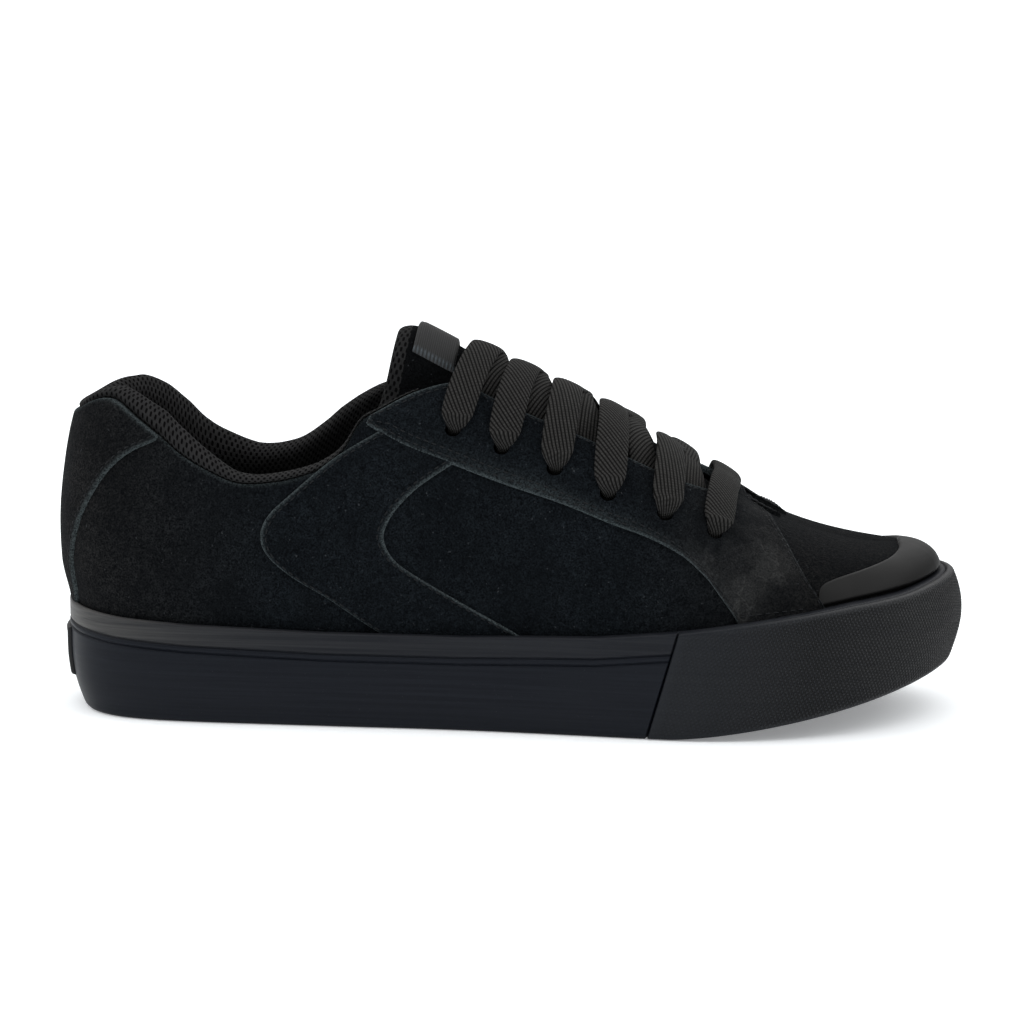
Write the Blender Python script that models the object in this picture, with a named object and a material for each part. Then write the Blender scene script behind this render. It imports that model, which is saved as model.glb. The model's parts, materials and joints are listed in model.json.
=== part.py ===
"""Right low-top skateboarding shoe: cup sole, hollow suede upper on a true last shape, overlays, tongue and laces.

Metres. The toe points to +X, the medial side to +Y, up is +Z. The origin is the point where the heel rests
on the floor. Shares in the tables are of LENGTH along, of BALL_WIDTH across and of INSTEP_HEIGHT upward.
"""
import bpy
import bmesh
import numpy as np

# Main sizes
LENGTH = 0.300
BALL_WIDTH = 0.108
INSTEP_HEIGHT = 0.118
HEEL_TO_ORIGIN = 0.040
TOE_SPRING = 0.0175
SPRING_START = 0.68

# Walls and fits
UPPER_WALL = 0.0020
OVERLAY_THICK = 0.0012
GUARD_THICK = 0.0013
FIT_GAP = 0.0003
FLOOR_RISE = 0.0003
OVERLAY_GAP = 0.0006
CUP_GAP = 0.0004

# Sole side
EDGE_TUCK = 0.0055
BOTTOM_ROUND = 0.0012
TOP_ROUND = 0.0007
GROOVE_DEPTH = 0.0008
GROOVE_HALF = 0.0005
GROOVE_HIGH = 0.0070
GROOVE_LOW = 0.0092
BUMPER_THICK = 0.0020
PATCH_THICK = 0.0010
PATCH_HEIGHT = 0.0165
PATCH_FOOT = 0.0105
CUP_TUCK = 0.0016
SWELL_BLEND = 0.014

# Inside
INSOLE_THICK = 0.0040
INSOLE_GAP = 0.0006
EYELET_DIAMETER = 0.0046
LACE_WIDTH = 0.0086
LACE_THICK = 0.0016
LACE_GAP = 0.0007
LACE_LEAN = 0.014
LACE_STUB = 0.38

# Facets
SIDE_STEPS = 36
WALL_STEPS = 7

# Plan outline of the sole: along, lateral half width, medial half width
OUTLINE = np.array([
    (0.000, 0.000, 0.000),
    (0.018, 0.195, 0.190),
    (0.070, 0.315, 0.305),
    (0.150, 0.358, 0.345),
    (0.240, 0.372, 0.335),
    (0.340, 0.388, 0.312),
    (0.440, 0.405, 0.308),
    (0.540, 0.436, 0.338),
    (0.640, 0.474, 0.400),
    (0.730, 0.494, 0.460),
    (0.815, 0.462, 0.480),
    (0.890, 0.375, 0.450),
    (0.950, 0.235, 0.365),
    (0.988, 0.070, 0.235),
    (1.000, -0.085, 0.085),
])

# Sole heights: along, top of the sidewall, floor inside the cup
SOLE_HEIGHTS = np.array([
    (0.000, 0.3136, 0.203),
    (0.070, 0.2966, 0.190),
    (0.150, 0.2839, 0.178),
    (0.300, 0.2712, 0.155),
    (0.450, 0.2712, 0.136),
    (0.600, 0.2839, 0.121),
    (0.700, 0.3093, 0.118),
    (0.800, 0.3432, 0.136),
    (0.880, 0.3686, 0.163),
    (0.940, 0.3800, 0.190),
    (1.000, 0.3980, 0.225),
])

# Upper, one row per outline row: ridge along, ridge height, inset from the sole's edge (share of BALL_WIDTH),
# swell of the side, rise of the side, fullness of the crown
SECTIONS = np.array([
    (0.115, 1.120, 0.024, 0.35, 0.42, 0.95),
    (0.120, 1.120, 0.024, 0.32, 0.42, 0.93),
    (0.145, 1.120, 0.025, 0.22, 0.42, 0.88),
    (0.190, 1.110, 0.027, 0.12, 0.42, 0.84),
    (0.255, 1.095, 0.028, 0.08, 0.42, 0.84),
    (0.340, 1.065, 0.029, 0.04, 0.42, 0.86),
    (0.430, 1.015, 0.030, 0.02, 0.44, 0.88),
    (0.525, 0.935, 0.031, 0.02, 0.46, 0.86),
    (0.620, 0.832, 0.032, 0.03, 0.54, 0.78),
    (0.710, 0.688, 0.034, 0.06, 0.62, 0.64),
    (0.790, 0.562, 0.037, 0.07, 0.70, 0.62),
    (0.850, 0.500, 0.042, 0.08, 0.80, 0.66),
    (0.885, 0.478, 0.048, 0.08, 0.90, 0.70),
    (0.900, 0.473, 0.053, 0.08, 0.92, 0.72),
    (0.905, 0.471, 0.055, 0.08, 0.92, 0.72),
])

# Edge of the collar and of the throat: along, lateral height, medial height, rise of the padded roll above it
RIM = np.array([
    (0.000, 0.842, 0.842, 0.046),
    (0.016, 0.846, 0.846, 0.046),
    (0.040, 0.887, 0.878, 0.042),
    (0.058, 0.902, 0.886, 0.042),
    (0.073, 0.893, 0.878, 0.050),
    (0.097, 0.848, 0.832, 0.066),
    (0.121, 0.803, 0.768, 0.076),
    (0.145, 0.753, 0.712, 0.072),
    (0.175, 0.710, 0.690, 0.052),
    (0.203, 0.681, 0.682, 0.034),
    (0.227, 0.678, 0.690, 0.027),
    (0.255, 0.687, 0.712, 0.027),
    (0.282, 0.705, 0.762, 0.026),
    (0.301, 0.726, 0.806, 0.026),
    (0.321, 0.768, 0.846, 0.024),
    (0.340, 0.850, 0.882, 0.014),
    (0.358, 0.877, 0.902, 0.010),
    (0.396, 0.926, 0.936, 0.008),
    (0.435, 0.950, 0.954, 0.006),
    (0.460, 0.936, 0.936, 0.006),
    (0.493, 0.899, 0.899, 0.006),
    (0.583, 0.806, 0.806, 0.006),
    (0.637, 0.746, 0.746, 0.006),
    (0.680, 0.694, 0.694, 0.006),
    (0.717, 0.655, 0.655, 0.006),
    (0.735, 0.6415, 0.6415, 0.006),
    (0.760, 0.632, 0.632, 0.006),
    (1.000, 0.560, 0.560, 0.006),
])

# Side view of the overlays' edges: along, height
EYESTAY_LOWER = np.array([
    (0.345, 0.846), (0.386, 0.789), (0.437, 0.743), (0.495, 0.691), (0.560, 0.640), (0.614, 0.589),
    (0.657, 0.551), (0.690, 0.508), (0.717, 0.450), (0.733, 0.398), (0.749, 0.340),
])
EYESTAY_FRONT = np.array([
    (0.842, 0.368), (0.835, 0.390), (0.818, 0.455), (0.802, 0.518), (0.780, 0.588),
])
PANEL_REAR = np.array([
    (0.354, 0.816), (0.310, 0.748), (0.262, 0.645), (0.240, 0.590), (0.232, 0.535), (0.240, 0.480),
    (0.267, 0.422), (0.308, 0.362), (0.352, 0.285),
])
PANEL_FRONT = np.array([
    (0.434, 0.726), (0.403, 0.671), (0.380, 0.610), (0.369, 0.555), (0.370, 0.515), (0.382, 0.470),
    (0.409, 0.424), (0.456, 0.357), (0.508, 0.285),
])
COUNTER_EDGE = np.array([
    (0.019, 0.300), (0.019, 0.362), (0.018, 0.464), (0.028, 0.560), (0.044, 0.641), (0.064, 0.711),
    (0.088, 0.761), (0.118, 0.795),
])
EYELETS = np.array([
    (0.442, 0.832), (0.495, 0.786), (0.553, 0.732), (0.611, 0.667), (0.672, 0.613), (0.725, 0.559),
])

# Toe guard's upper edge: station, share of the way from the sidewall to the ridge
GUARD_EDGE = np.array([
    (0.752, 0.06), (0.770, 0.16), (0.800, 0.27), (0.850, 0.42), (0.900, 0.57), (0.950, 0.70), (1.000, 0.74),
])

# Tongue, from its free end to its root: ridge along, height of its face above the upper's ridge line,
# depth of its edges below the upper's face, share of the section covered on each side, padding
TONGUE = np.array([
    (0.372, 0.0062, 0.0068, 0.36, 0.0070),
    (0.400, 0.0062, 0.0066, 0.40, 0.0082),
    (0.452, 0.0026, 0.0052, 0.42, 0.0078),
    (0.530, -0.0005, 0.0038, 0.40, 0.0066),
    (0.620, -0.0016, 0.0036, 0.36, 0.0056),
    (0.690, -0.0024, 0.0036, 0.31, 0.0044),
    (0.735, -0.0036, 0.0036, 0.27, 0.0035),
    (0.790, -0.0036, 0.0036, 0.23, 0.0030),
])
# How far the tongue's side corners stand back from its free end, as a share of the way round the sole
TONGUE_SLANT = 0.017
LABEL_SPAN = np.array([0.392, 0.438])
LABEL_HALF = 0.42
LABEL_THICK = 0.0008
LABEL_GAP = 0.0009

# Laces: where each strand crosses the ridge, matching the eyelets from the ankle to the toe
LACE_TOPS = np.array([0.467, 0.511, 0.559, 0.609, 0.671, 0.733])

# Collar lining: along, thickness of the padding, depth inside the shoe
COLLAR = np.array([
    (0.000, 0.0080, 0.030),
    (0.120, 0.0085, 0.028),
    (0.200, 0.0070, 0.022),
    (0.280, 0.0060, 0.022),
    (0.330, 0.0040, 0.022),
    (0.360, 0.0022, 0.020),
    (0.410, 0.0020, 0.016),
])
COLLAR_END = 0.405
LEAST_ROLL = 0.0016
LINING_GAP = 0.0005
RIM_STEP = 0.0006


def periodic_spline(values, at):
    """Cubic spline through rows at 0, 1, 2 ... that closes on itself; one linear solve gives its bends."""
    rows = np.asarray(values, float)
    count = len(rows)
    matrix = 4 * np.eye(count) + np.roll(np.eye(count), 1, 0) + np.roll(np.eye(count), -1, 0)
    bend = np.linalg.solve(matrix, 6 * (np.roll(rows, -1, 0) - 2 * rows + np.roll(rows, 1, 0)))
    at = np.asarray(at, float)
    index = np.floor(at).astype(int)
    part = at - index
    if rows.ndim > 1:
        part = part[..., None]
    here = index % count
    after = (index + 1) % count
    straight = rows[here] * (1 - part) + rows[after] * part
    curved = ((1 - part) ** 3 - (1 - part)) * bend[here] + (part ** 3 - part) * bend[after]
    return straight + curved / 6


def along_of(x):
    """Share of LENGTH from the back of the heel."""
    return (x + HEEL_TO_ORIGIN) / LENGTH


def station_of(turn):
    """Station 0 to 1 from heel to toe tip; a turn of 0 to 1 is the lateral side and 1 to 2 the medial one."""
    turn = np.mod(turn, 2.0)
    return 1 - np.abs(1 - turn)


def outline(turn, inset=0.0):
    """Plan point on the sole's outline, moved inward by the inset at right angles to it."""
    count = len(OUTLINE) - 1
    x = OUTLINE[:, 0] * LENGTH - HEEL_TO_ORIGIN
    ring_x = np.concatenate([x, x[-2:0:-1]])
    ring_y = np.concatenate([-OUTLINE[:, 1], OUTLINE[-2:0:-1, 2]]) * BALL_WIDTH
    ring = np.stack([ring_x, ring_y], 1)
    at = np.mod(np.asarray(turn, float), 2.0) * count
    point = periodic_spline(ring, at)
    tangent = periodic_spline(ring, at + 1e-4) - periodic_spline(ring, at - 1e-4)
    tangent = tangent / np.linalg.norm(tangent, axis=-1, keepdims=True)
    inward = np.stack([-tangent[..., 1], tangent[..., 0]], -1)
    return point + inward * np.asarray(inset)[..., None]


def spring(x):
    """Height of the sole's underside: flat as far as SPRING_START, then a rising curve to the toe."""
    share = np.clip((along_of(x) - SPRING_START) / (1 - SPRING_START), 0, None)
    return TOE_SPRING * share ** 1.35


def sidewall_top(x):
    return np.interp(along_of(x), SOLE_HEIGHTS[:, 0], SOLE_HEIGHTS[:, 1]) * INSTEP_HEIGHT


def cup_floor(x):
    return np.interp(along_of(x), SOLE_HEIGHTS[:, 0], SOLE_HEIGHTS[:, 2]) * INSTEP_HEIGHT


def section(station):
    count = len(SECTIONS) - 1
    return periodic_spline(np.concatenate([SECTIONS, SECTIONS[-2:0:-1]]), np.asarray(station, float) * count)


def middle(station):
    """Sideways place of the ridge: half way between the two edges, on the axis at the heel."""
    both = outline(station)[..., 1] + outline(2 - station)[..., 1]
    return both / 2 * np.clip(station * 6 - 0.5, 0, 1)


def last_point(turn, up):
    """Outer face of the upper. Up is 0 at its lower edge and 1 on the ridge; each section is one cubic arch."""
    turn, up = np.broadcast_arrays(np.asarray(turn, float), np.asarray(up, float))
    station = station_of(turn)
    row = section(station)
    base = outline(turn, row[..., 2] * BALL_WIDTH)
    ridge_x = row[..., 0] * LENGTH - HEEL_TO_ORIGIN
    ridge_z = row[..., 1] * INSTEP_HEIGHT
    ridge_y = middle(station)
    foot = cup_floor(base[..., 0]) + FLOOR_RISE
    first = (1 - up) ** 3
    second = 3 * up * (1 - up) ** 2
    third = 3 * up * up * (1 - up)
    fourth = up ** 3
    spread = first + second * (1 + row[..., 3]) + third * row[..., 5]
    rise = second * row[..., 4] + third + fourth
    height = foot + (ridge_z - foot) * rise
    away = np.hypot(base[..., 0] - ridge_x, base[..., 1] - ridge_y)
    held = np.clip(1 - (height - sidewall_top(base[..., 0])) / SWELL_BLEND, 0, 1)
    spread = spread - CUP_TUCK / away * held * held * (3 - 2 * held) * (1 - fourth)
    x = ridge_x + (base[..., 0] - ridge_x) * spread
    y = ridge_y + (base[..., 1] - ridge_y) * spread
    return np.stack([x, y, height], -1)


def last_normal(turn, up):
    """Outward unit normal, worked out from small steps; near the ridge both sides share one normal."""
    turn, up = np.broadcast_arrays(np.asarray(turn, float), np.asarray(up, float))
    held = np.minimum(up, 0.96)

    def one_side(place):
        across = last_point(place + 5e-4, held) - last_point(place - 5e-4, held)
        upward = last_point(place, held + 5e-4) - last_point(place, held - 5e-4)
        normal = np.cross(across, upward)
        return normal / np.linalg.norm(normal, axis=-1, keepdims=True)

    near = one_side(turn)
    far = one_side(2 - turn)
    share = np.clip((up - 0.86) / 0.14, 0, 1)[..., None]
    share = share * share * (3 - 2 * share) / 2
    normal = near * (1 - share) + far * share
    return normal / np.linalg.norm(normal, axis=-1, keepdims=True)


def shell(turn, up, out):
    """Point of the upper's form, moved outward by out."""
    return last_point(turn, up) + last_normal(turn, up) * np.asarray(out)[..., None]


def rim_height(x, lateral):
    column = np.where(lateral, 0, 1)
    both = np.stack([np.interp(along_of(x), RIM[:, 0], RIM[:, 1]), np.interp(along_of(x), RIM[:, 0], RIM[:, 2])], -1)
    return np.take_along_axis(both, column[..., None], -1)[..., 0] * INSTEP_HEIGHT


def rim_up(turn):
    """How far up the section the edge of the collar or throat lies; 1 where the vamp is closed."""
    turn = np.asarray(turn, float)
    ladder = np.linspace(0.2, 1.0, 401)
    points = last_point(turn[:, None], ladder[None])
    lateral = np.mod(turn, 2.0) <= 1.0
    over = points[..., 2] - rim_height(points[..., 0], np.broadcast_to(lateral[:, None], points.shape[:2]))
    first = np.argmax(over > 0, 1)
    first = np.where((over > 0).any(1), np.maximum(first, 1), 400)
    row = np.arange(len(turn))
    before = over[row, first - 1]
    after = over[row, first]
    share = np.where(after > 0, before / (before - after + 1e-12), 1.0)
    return ladder[first - 1] + np.clip(share, 0, 1) * (ladder[1] - ladder[0])


def up_of_height(turn, height):
    """How far up the section a height lies, on the outer face."""
    turn = np.asarray(turn, float)
    ladder = np.linspace(0.0, 1.0, 401)
    z = last_point(turn[:, None], ladder[None])[..., 2]
    return np.array([np.interp(h, line, ladder) for h, line in zip(np.broadcast_to(height, turn.shape), z)])


def throat_station():
    """Station where the throat's two edges meet on the ridge."""
    stations = np.linspace(0.3, 0.9, 1201)
    ridge = last_point(stations, np.ones(1201))
    gap = ridge[:, 2] - rim_height(ridge[:, 0], np.ones(1201, bool))
    return stations[np.argmax(gap < 0)]


def on_form(rows, lateral=True):
    """Turn and up of points given in side view as along and height, by a search and three Newton steps."""
    rows = np.asarray(rows, float)
    goal = np.stack([rows[:, 0] * LENGTH - HEEL_TO_ORIGIN, rows[:, 1] * INSTEP_HEIGHT], 1)
    turns = np.linspace(0.0, 1.0, 241)
    ups = np.linspace(0.02, 0.98, 121)
    if not lateral:
        turns = 2 - turns
    field = last_point(turns[:, None], ups[None])[..., [0, 2]].reshape(-1, 2)
    nearest = np.argmin(((goal[:, None] - field[None]) ** 2).sum(-1), 1)
    turn = turns[nearest // 121]
    up = ups[nearest % 121]
    for _ in range(3):
        here = last_point(turn, up)[:, [0, 2]]
        by_turn = (last_point(turn + 1e-4, up)[:, [0, 2]] - here) / 1e-4
        by_up = (last_point(turn, up + 1e-4)[:, [0, 2]] - here) / 1e-4
        miss = goal - here
        det = by_turn[:, 0] * by_up[:, 1] - by_turn[:, 1] * by_up[:, 0]
        turn = turn + np.clip((miss[:, 0] * by_up[:, 1] - miss[:, 1] * by_up[:, 0]) / det, -0.02, 0.02)
        up = up + np.clip((by_turn[:, 0] * miss[:, 1] - by_turn[:, 1] * miss[:, 0]) / det, -0.02, 0.02)
    return np.stack([turn, up], 1)


def resample(rows, count):
    """Evenly spread points on a smooth line through the rows."""
    rows = np.asarray(rows, float)
    padded = np.concatenate([2 * rows[:1] - rows[1:2], rows, 2 * rows[-1:] - rows[-2:-1]])
    t = np.linspace(0, len(rows) - 1, 40 * len(rows))
    i = np.minimum(t.astype(int), len(rows) - 2)
    f = (t - i)[:, None]
    a, b, c, d = padded[i], padded[i + 1], padded[i + 2], padded[i + 3]
    line = b + 0.5 * f * (c - a + f * (2 * a - 5 * b + 4 * c - d + f * (3 * (b - c) + d - a)))
    run = np.concatenate([[0], np.cumsum(np.linalg.norm(np.diff(line, axis=0), axis=1))])
    at = np.linspace(0, run[-1], count)
    return np.stack([np.interp(at, run, line[:, k]) for k in range(line.shape[1])], 1)


# Mesh building


def side_tuck(turn, share):
    """How far the side of the sole stands in from its outline; the side rounds in toward the floor."""
    ends = np.interp(station_of(turn), [0, 0.1, 0.3, 0.8, 1.0], [1.0, 0.7, 0.5, 0.5, 0.6])
    curve = np.interp(share, [0, 0.07, 0.26, 0.43, 0.6, 1.0], [1.0, 0.73, 0.27, 0.06, 0.0, 0.0])
    return EDGE_TUCK * ends * curve


def solid_between(outer, inner, ring=False, open_high=None):
    """Points and faces of the solid between two grids of points; shared points are welded later."""
    count, rows = outer.shape[:2]
    index = np.arange(count * rows).reshape(count, rows)
    walk = np.arange(count + 1) % count if ring else np.arange(count)
    a = index[walk]
    b = a + count * rows
    faces = [
        np.stack([a[:-1, :-1], a[1:, :-1], a[1:, 1:], a[:-1, 1:]], -1).reshape(-1, 4),
        np.stack([b[:-1, :-1], b[:-1, 1:], b[1:, 1:], b[1:, :-1]], -1).reshape(-1, 4),
        np.stack([a[:-1, 0], b[:-1, 0], b[1:, 0], a[1:, 0]], -1),
    ]
    high = np.stack([a[:-1, -1], a[1:, -1], b[1:, -1], b[:-1, -1]], -1)
    faces.append(high if open_high is None else high[open_high])
    if not ring:
        faces.append(np.stack([a[0, :-1], a[0, 1:], b[0, 1:], b[0, :-1]], -1))
        faces.append(np.stack([a[-1, :-1], b[-1, :-1], b[-1, 1:], a[-1, 1:]], -1))
    return np.concatenate([outer.reshape(-1, 3), inner.reshape(-1, 3)]), np.concatenate(faces)


def make_object(name, points, faces, colour, roughness):
    mesh = bpy.data.meshes.new(name)
    mesh.from_pydata(points.tolist(), [], [list(dict.fromkeys(face)) for face in faces.tolist()])
    work = bmesh.new()
    work.from_mesh(mesh)
    bmesh.ops.remove_doubles(work, verts=work.verts, dist=0.000002)
    bmesh.ops.recalc_face_normals(work, faces=work.faces)
    work.to_mesh(mesh)
    work.free()
    obj = bpy.data.objects.new(name, mesh)
    bpy.context.scene.collection.objects.link(obj)
    material = bpy.data.materials.new(name)
    material.use_nodes = True
    shader = material.node_tree.nodes["Principled BSDF"]
    shader.inputs["Base Color"].default_value = (*colour, 1.0)
    shader.inputs["Roughness"].default_value = roughness
    mesh.materials.append(material)
    return obj


SUEDE = (0.0085, 0.0095, 0.0115)
RUBBER = (0.017, 0.018, 0.021)
TEXTILE = (0.012, 0.012, 0.012)

for obj in list(bpy.data.objects):
    bpy.data.objects.remove(obj)

stations = np.linspace(0, 1, SIDE_STEPS + 1)
throat_end = throat_station()

# Sole: rings from the underside's edge up the side, over the rim and down inside to the floor
SEAM_TOP = 0.6087
SEAM_SLANT = 0.0277
SEAM_STEP = 0.0008
sole_stations = stations[np.abs(stations - SEAM_TOP) > 0.006]
sole_stations = np.sort(np.concatenate([sole_stations, [SEAM_TOP - SEAM_STEP, SEAM_TOP]]))
sole_turns = np.concatenate([sole_stations, 2 - sole_stations[-2:0:-1]])


def slanted(turn, share):
    """Moves the stations beside the bumper's seam back toward the heel, more so lower down."""
    station = station_of(turn)
    near = np.clip(1 - np.abs(station - SEAM_TOP) / 0.16, 0, 1)
    shift = SEAM_SLANT * (1 - share) * near
    return np.where(np.mod(turn, 2.0) <= 1, turn - shift, turn + shift)


def sole_ring(turn, inset, height, share):
    """Ring of the sole at a height given by a function of x; share 0 is the floor side and 1 the rim."""
    moved = slanted(turn, share)
    plan = outline(moved, inset)
    edge = plan if share == 0 else outline(moved)
    return np.concatenate([plan, height(edge[:, 0])[:, None]], 1)


def inside_ring(turn, share):
    """Ring of the cup's inner wall, a fit gap outside the upper; share 0 is the floor and 1 the rim."""
    base = outline(turn, section(station_of(turn))[:, 2] * BALL_WIDTH)
    floor = cup_floor(base[:, 0])
    level = floor + (sidewall_top(outline(turn)[:, 0]) - floor) * share
    inner = last_point(turn, up_of_height(turn, level))
    outward = outline(turn, -0.001) - outline(turn)
    plan = inner[:, :2] + outward / 0.001 * CUP_GAP
    return np.concatenate([plan, level[:, None]], 1)


def side_rings(turn, sunk):
    """Outer rings of the sole's side, from the underside's edge to the rim; sunk is the depth of the bumper's seat."""
    plain = sunk <= 0
    rings = [sole_ring(turn, side_tuck(turn, 0) + BOTTOM_ROUND + sunk, spring, 0)]
    for share in (0.05, 0.20, 0.43):
        def height(x, share=share):
            return spring(x) + (sidewall_top(x) - spring(x)) * share
        rings.append(sole_ring(turn, side_tuck(turn, share) + sunk, height, share))
    for groove in (GROOVE_LOW, GROOVE_HIGH):
        for step, depth in ((-GROOVE_HALF, 0), (0, GROOVE_DEPTH), (GROOVE_HALF, 0)):
            def height(x, drop=step - groove):
                return sidewall_top(x) + drop
            rings.append(sole_ring(turn, np.where(plain, depth, 0) + sunk, height, 0.75))
    rings.append(sole_ring(turn, sunk, lambda x: sidewall_top(x) - TOP_ROUND, 1))
    rings.append(sole_ring(turn, sunk + TOP_ROUND, sidewall_top, 1))
    return rings


in_seat = (station_of(sole_turns) >= SEAM_TOP - 1e-9)
sunk = np.where(in_seat, BUMPER_THICK + FIT_GAP, 0.0)
rings = side_rings(sole_turns, sunk)
for share in (1.0, 0.78, 0.45, 0.0):
    rings.append(inside_ring(sole_turns, share))
rings[-1][:, 2] = cup_floor(rings[-1][:, 0])
around = len(sole_turns)
points = np.concatenate(rings)
index = np.arange(len(points)).reshape(len(rings), around)
after = np.roll(index, -1, 1)
faces = [np.stack([index[:-1], after[:-1], after[1:], index[1:]], -1).reshape(-1, 4)]
half = len(sole_stations)
for cap in (index[0], index[-1]):
    lateral = cap[:half]
    medial = np.concatenate([cap[:1], cap[:half - 2:-1]])
    faces.append(np.stack([lateral[:-1], lateral[1:], medial[1:], medial[:-1]], -1))
make_object("cupsole", points, np.concatenate(faces), RUBBER, 0.45)

# Bumper: a textured band let into the sole's side round the toe
bumper_stations = np.concatenate([[SEAM_TOP + SEAM_STEP], stations[stations > SEAM_TOP + 0.006]])
bumper_turns = np.concatenate([bumper_stations, 2 - bumper_stations[-2::-1]])
shares = np.array([0.02, 0.20, 0.43, 0.97, 1.0])
rounding = np.array([0.0, 0.0, 0.0, 0.0, 0.0006])
outer = []
inner = []
for share, trim in zip(shares, rounding):
    def height(x, share=share):
        return spring(x) + (sidewall_top(x) - spring(x)) * share
    tuck = side_tuck(bumper_turns, share)
    outer.append(sole_ring(bumper_turns, tuck + trim - FIT_GAP, height, share))
    inner.append(sole_ring(bumper_turns, tuck + BUMPER_THICK - FIT_GAP, height, share))
make_object("toe_bumper", *solid_between(np.stack(outer, 1), np.stack(inner, 1)), RUBBER, 0.5)

# Heel patch: a bare rubber label on the back of the sole
patch_turns = np.linspace(-0.046, 0.046, 9)
outer = []
inner = []
for level in np.linspace(PATCH_FOOT, PATCH_FOOT + PATCH_HEIGHT, 4):
    tuck = side_tuck(patch_turns, level / sidewall_top(-HEEL_TO_ORIGIN))
    flat = np.full((9, 1), level)
    outer.append(np.concatenate([outline(patch_turns, tuck - FIT_GAP - PATCH_THICK), flat], 1))
    inner.append(np.concatenate([outline(patch_turns, tuck - FIT_GAP), flat], 1))
make_object("heel_patch", *solid_between(np.stack(outer, 1), np.stack(inner, 1)), RUBBER, 0.5)

# Upper: one hollow wall, closed over the vamp, open at the collar, the throat and underneath
upper_stations = np.concatenate([stations, throat_end - np.array([0.0, 0.003, 0.009, 0.017])])
upper_stations = np.sort(upper_stations)
keep = np.concatenate([[True], np.diff(upper_stations) > 0.0022])
upper_stations = upper_stations[keep]
upper_stations[np.argmin(np.abs(upper_stations - throat_end))] = throat_end
upper_turns = np.concatenate([upper_stations, 2 - upper_stations[-2:0:-1]])
reach = np.where(station_of(upper_turns) >= throat_end - 1e-9, 1.0, rim_up(upper_turns))
climb = np.linspace(0, 1, WALL_STEPS + 1)[None] * reach[:, None]
turn_grid = np.broadcast_to(upper_turns[:, None], climb.shape)
outer = shell(turn_grid, climb, np.zeros(climb.shape))
inner = shell(turn_grid, climb, np.full(climb.shape, -UPPER_WALL))
inner[:, 0, 2] = outer[:, 0, 2]
closed = (reach >= 1.0) & np.roll(reach >= 1.0, -1)
upper = make_object("upper", *solid_between(outer, inner, ring=True, open_high=~closed), SUEDE, 0.9)


def overlay(name, turn, up, thick, colour, roughness):
    """Cover lying on the upper: a grid of turns and ups given its thickness outward of the fit gap."""
    outer = shell(turn, up, np.full(turn.shape, OVERLAY_GAP + thick))
    inner = shell(turn, up, np.full(turn.shape, OVERLAY_GAP))
    return make_object(name, *solid_between(outer, inner), colour, roughness)


def above_rim(turn, up):
    """Keeps a grid above the sole's rim."""
    base = outline(turn.ravel(), section(station_of(turn.ravel()))[:, 2] * BALL_WIDTH)
    low = up_of_height(turn.ravel(), sidewall_top(base[:, 0]) + FIT_GAP * 2)
    return np.maximum(up, low.reshape(up.shape))


# Eyestay: one facing from collar to collar round the front of the throat, with a leg to the sole on each side
ridge_line = section(np.linspace(0.3, 0.9, 601))[:, 0]


def ridge_station(along):
    return np.interp(along, ridge_line, np.linspace(0.3, 0.9, 601))


def throat_front(first, count, lateral):
    """Turns and ups evenly spread along the throat's edge, from a station on the side to its front end."""
    stations = throat_end - (throat_end - first) * np.linspace(1, 0, 300) ** 3
    ups = rim_up(stations if lateral else 2 - stations)
    ups[-1] = 1.0
    line = last_point(stations if lateral else 2 - stations, ups)
    run = np.concatenate([[0], np.cumsum(np.linalg.norm(np.diff(line, axis=0), axis=1))])
    at = np.linspace(0, run[-1], count)
    return np.interp(at, run, stations), np.interp(at, run, ups)


LOWER_POINTS = 14
grids = []
for lateral in (True, False):
    lower = on_form(resample(EYESTAY_LOWER, LOWER_POINTS), lateral)
    front = on_form(resample(EYESTAY_FRONT, 7), lateral)
    lower_turn = station_of(lower[:, 0])
    front_turn = station_of(front[:, 0])
    foot_turn = np.linspace(lower_turn[-1], front_turn[0], 4)[1:-1]
    foot_up = np.linspace(lower[-1, 1], front[0, 1], 4)[1:-1]
    last_turn = ridge_station(0.760)
    toward = np.linspace(0, 1, 5)[1:]
    outer_turn = np.concatenate([lower_turn, foot_turn, front_turn, front_turn[-1] + (last_turn - front_turn[-1]) * toward])
    outer_up = np.concatenate([lower[:, 1], foot_up, front[:, 1], front[-1, 1] + (1 - front[-1, 1]) * toward])
    count = len(outer_turn)
    start = lower_turn[0] + 0.004
    side_turn = np.interp(np.arange(LOWER_POINTS + 1), [0, LOWER_POINTS - 1, LOWER_POINTS], [start, 0.640, 0.648])
    side_up = rim_up(side_turn if lateral else 2 - side_turn)
    front_edge = throat_front(0.655, count - LOWER_POINTS - 1, lateral)
    inner_turn = np.concatenate([side_turn, front_edge[0]])
    inner_up = np.concatenate([side_up, front_edge[1]])
    across = np.linspace(0, 1, 7)[None]
    turn = outer_turn[:, None] * (1 - across) + inner_turn[:, None] * across
    up = outer_up[:, None] * (1 - across) + inner_up[:, None] * across
    turn = turn if lateral else 2 - turn
    grids.append((turn, above_rim(turn, up)))
turn = np.concatenate([grids[0][0], grids[1][0][-2::-1]])
up = np.concatenate([grids[0][1], grids[1][1][-2::-1]])
eyestay = overlay("eyestay", turn, up, OVERLAY_THICK, SUEDE, 0.9)

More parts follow.
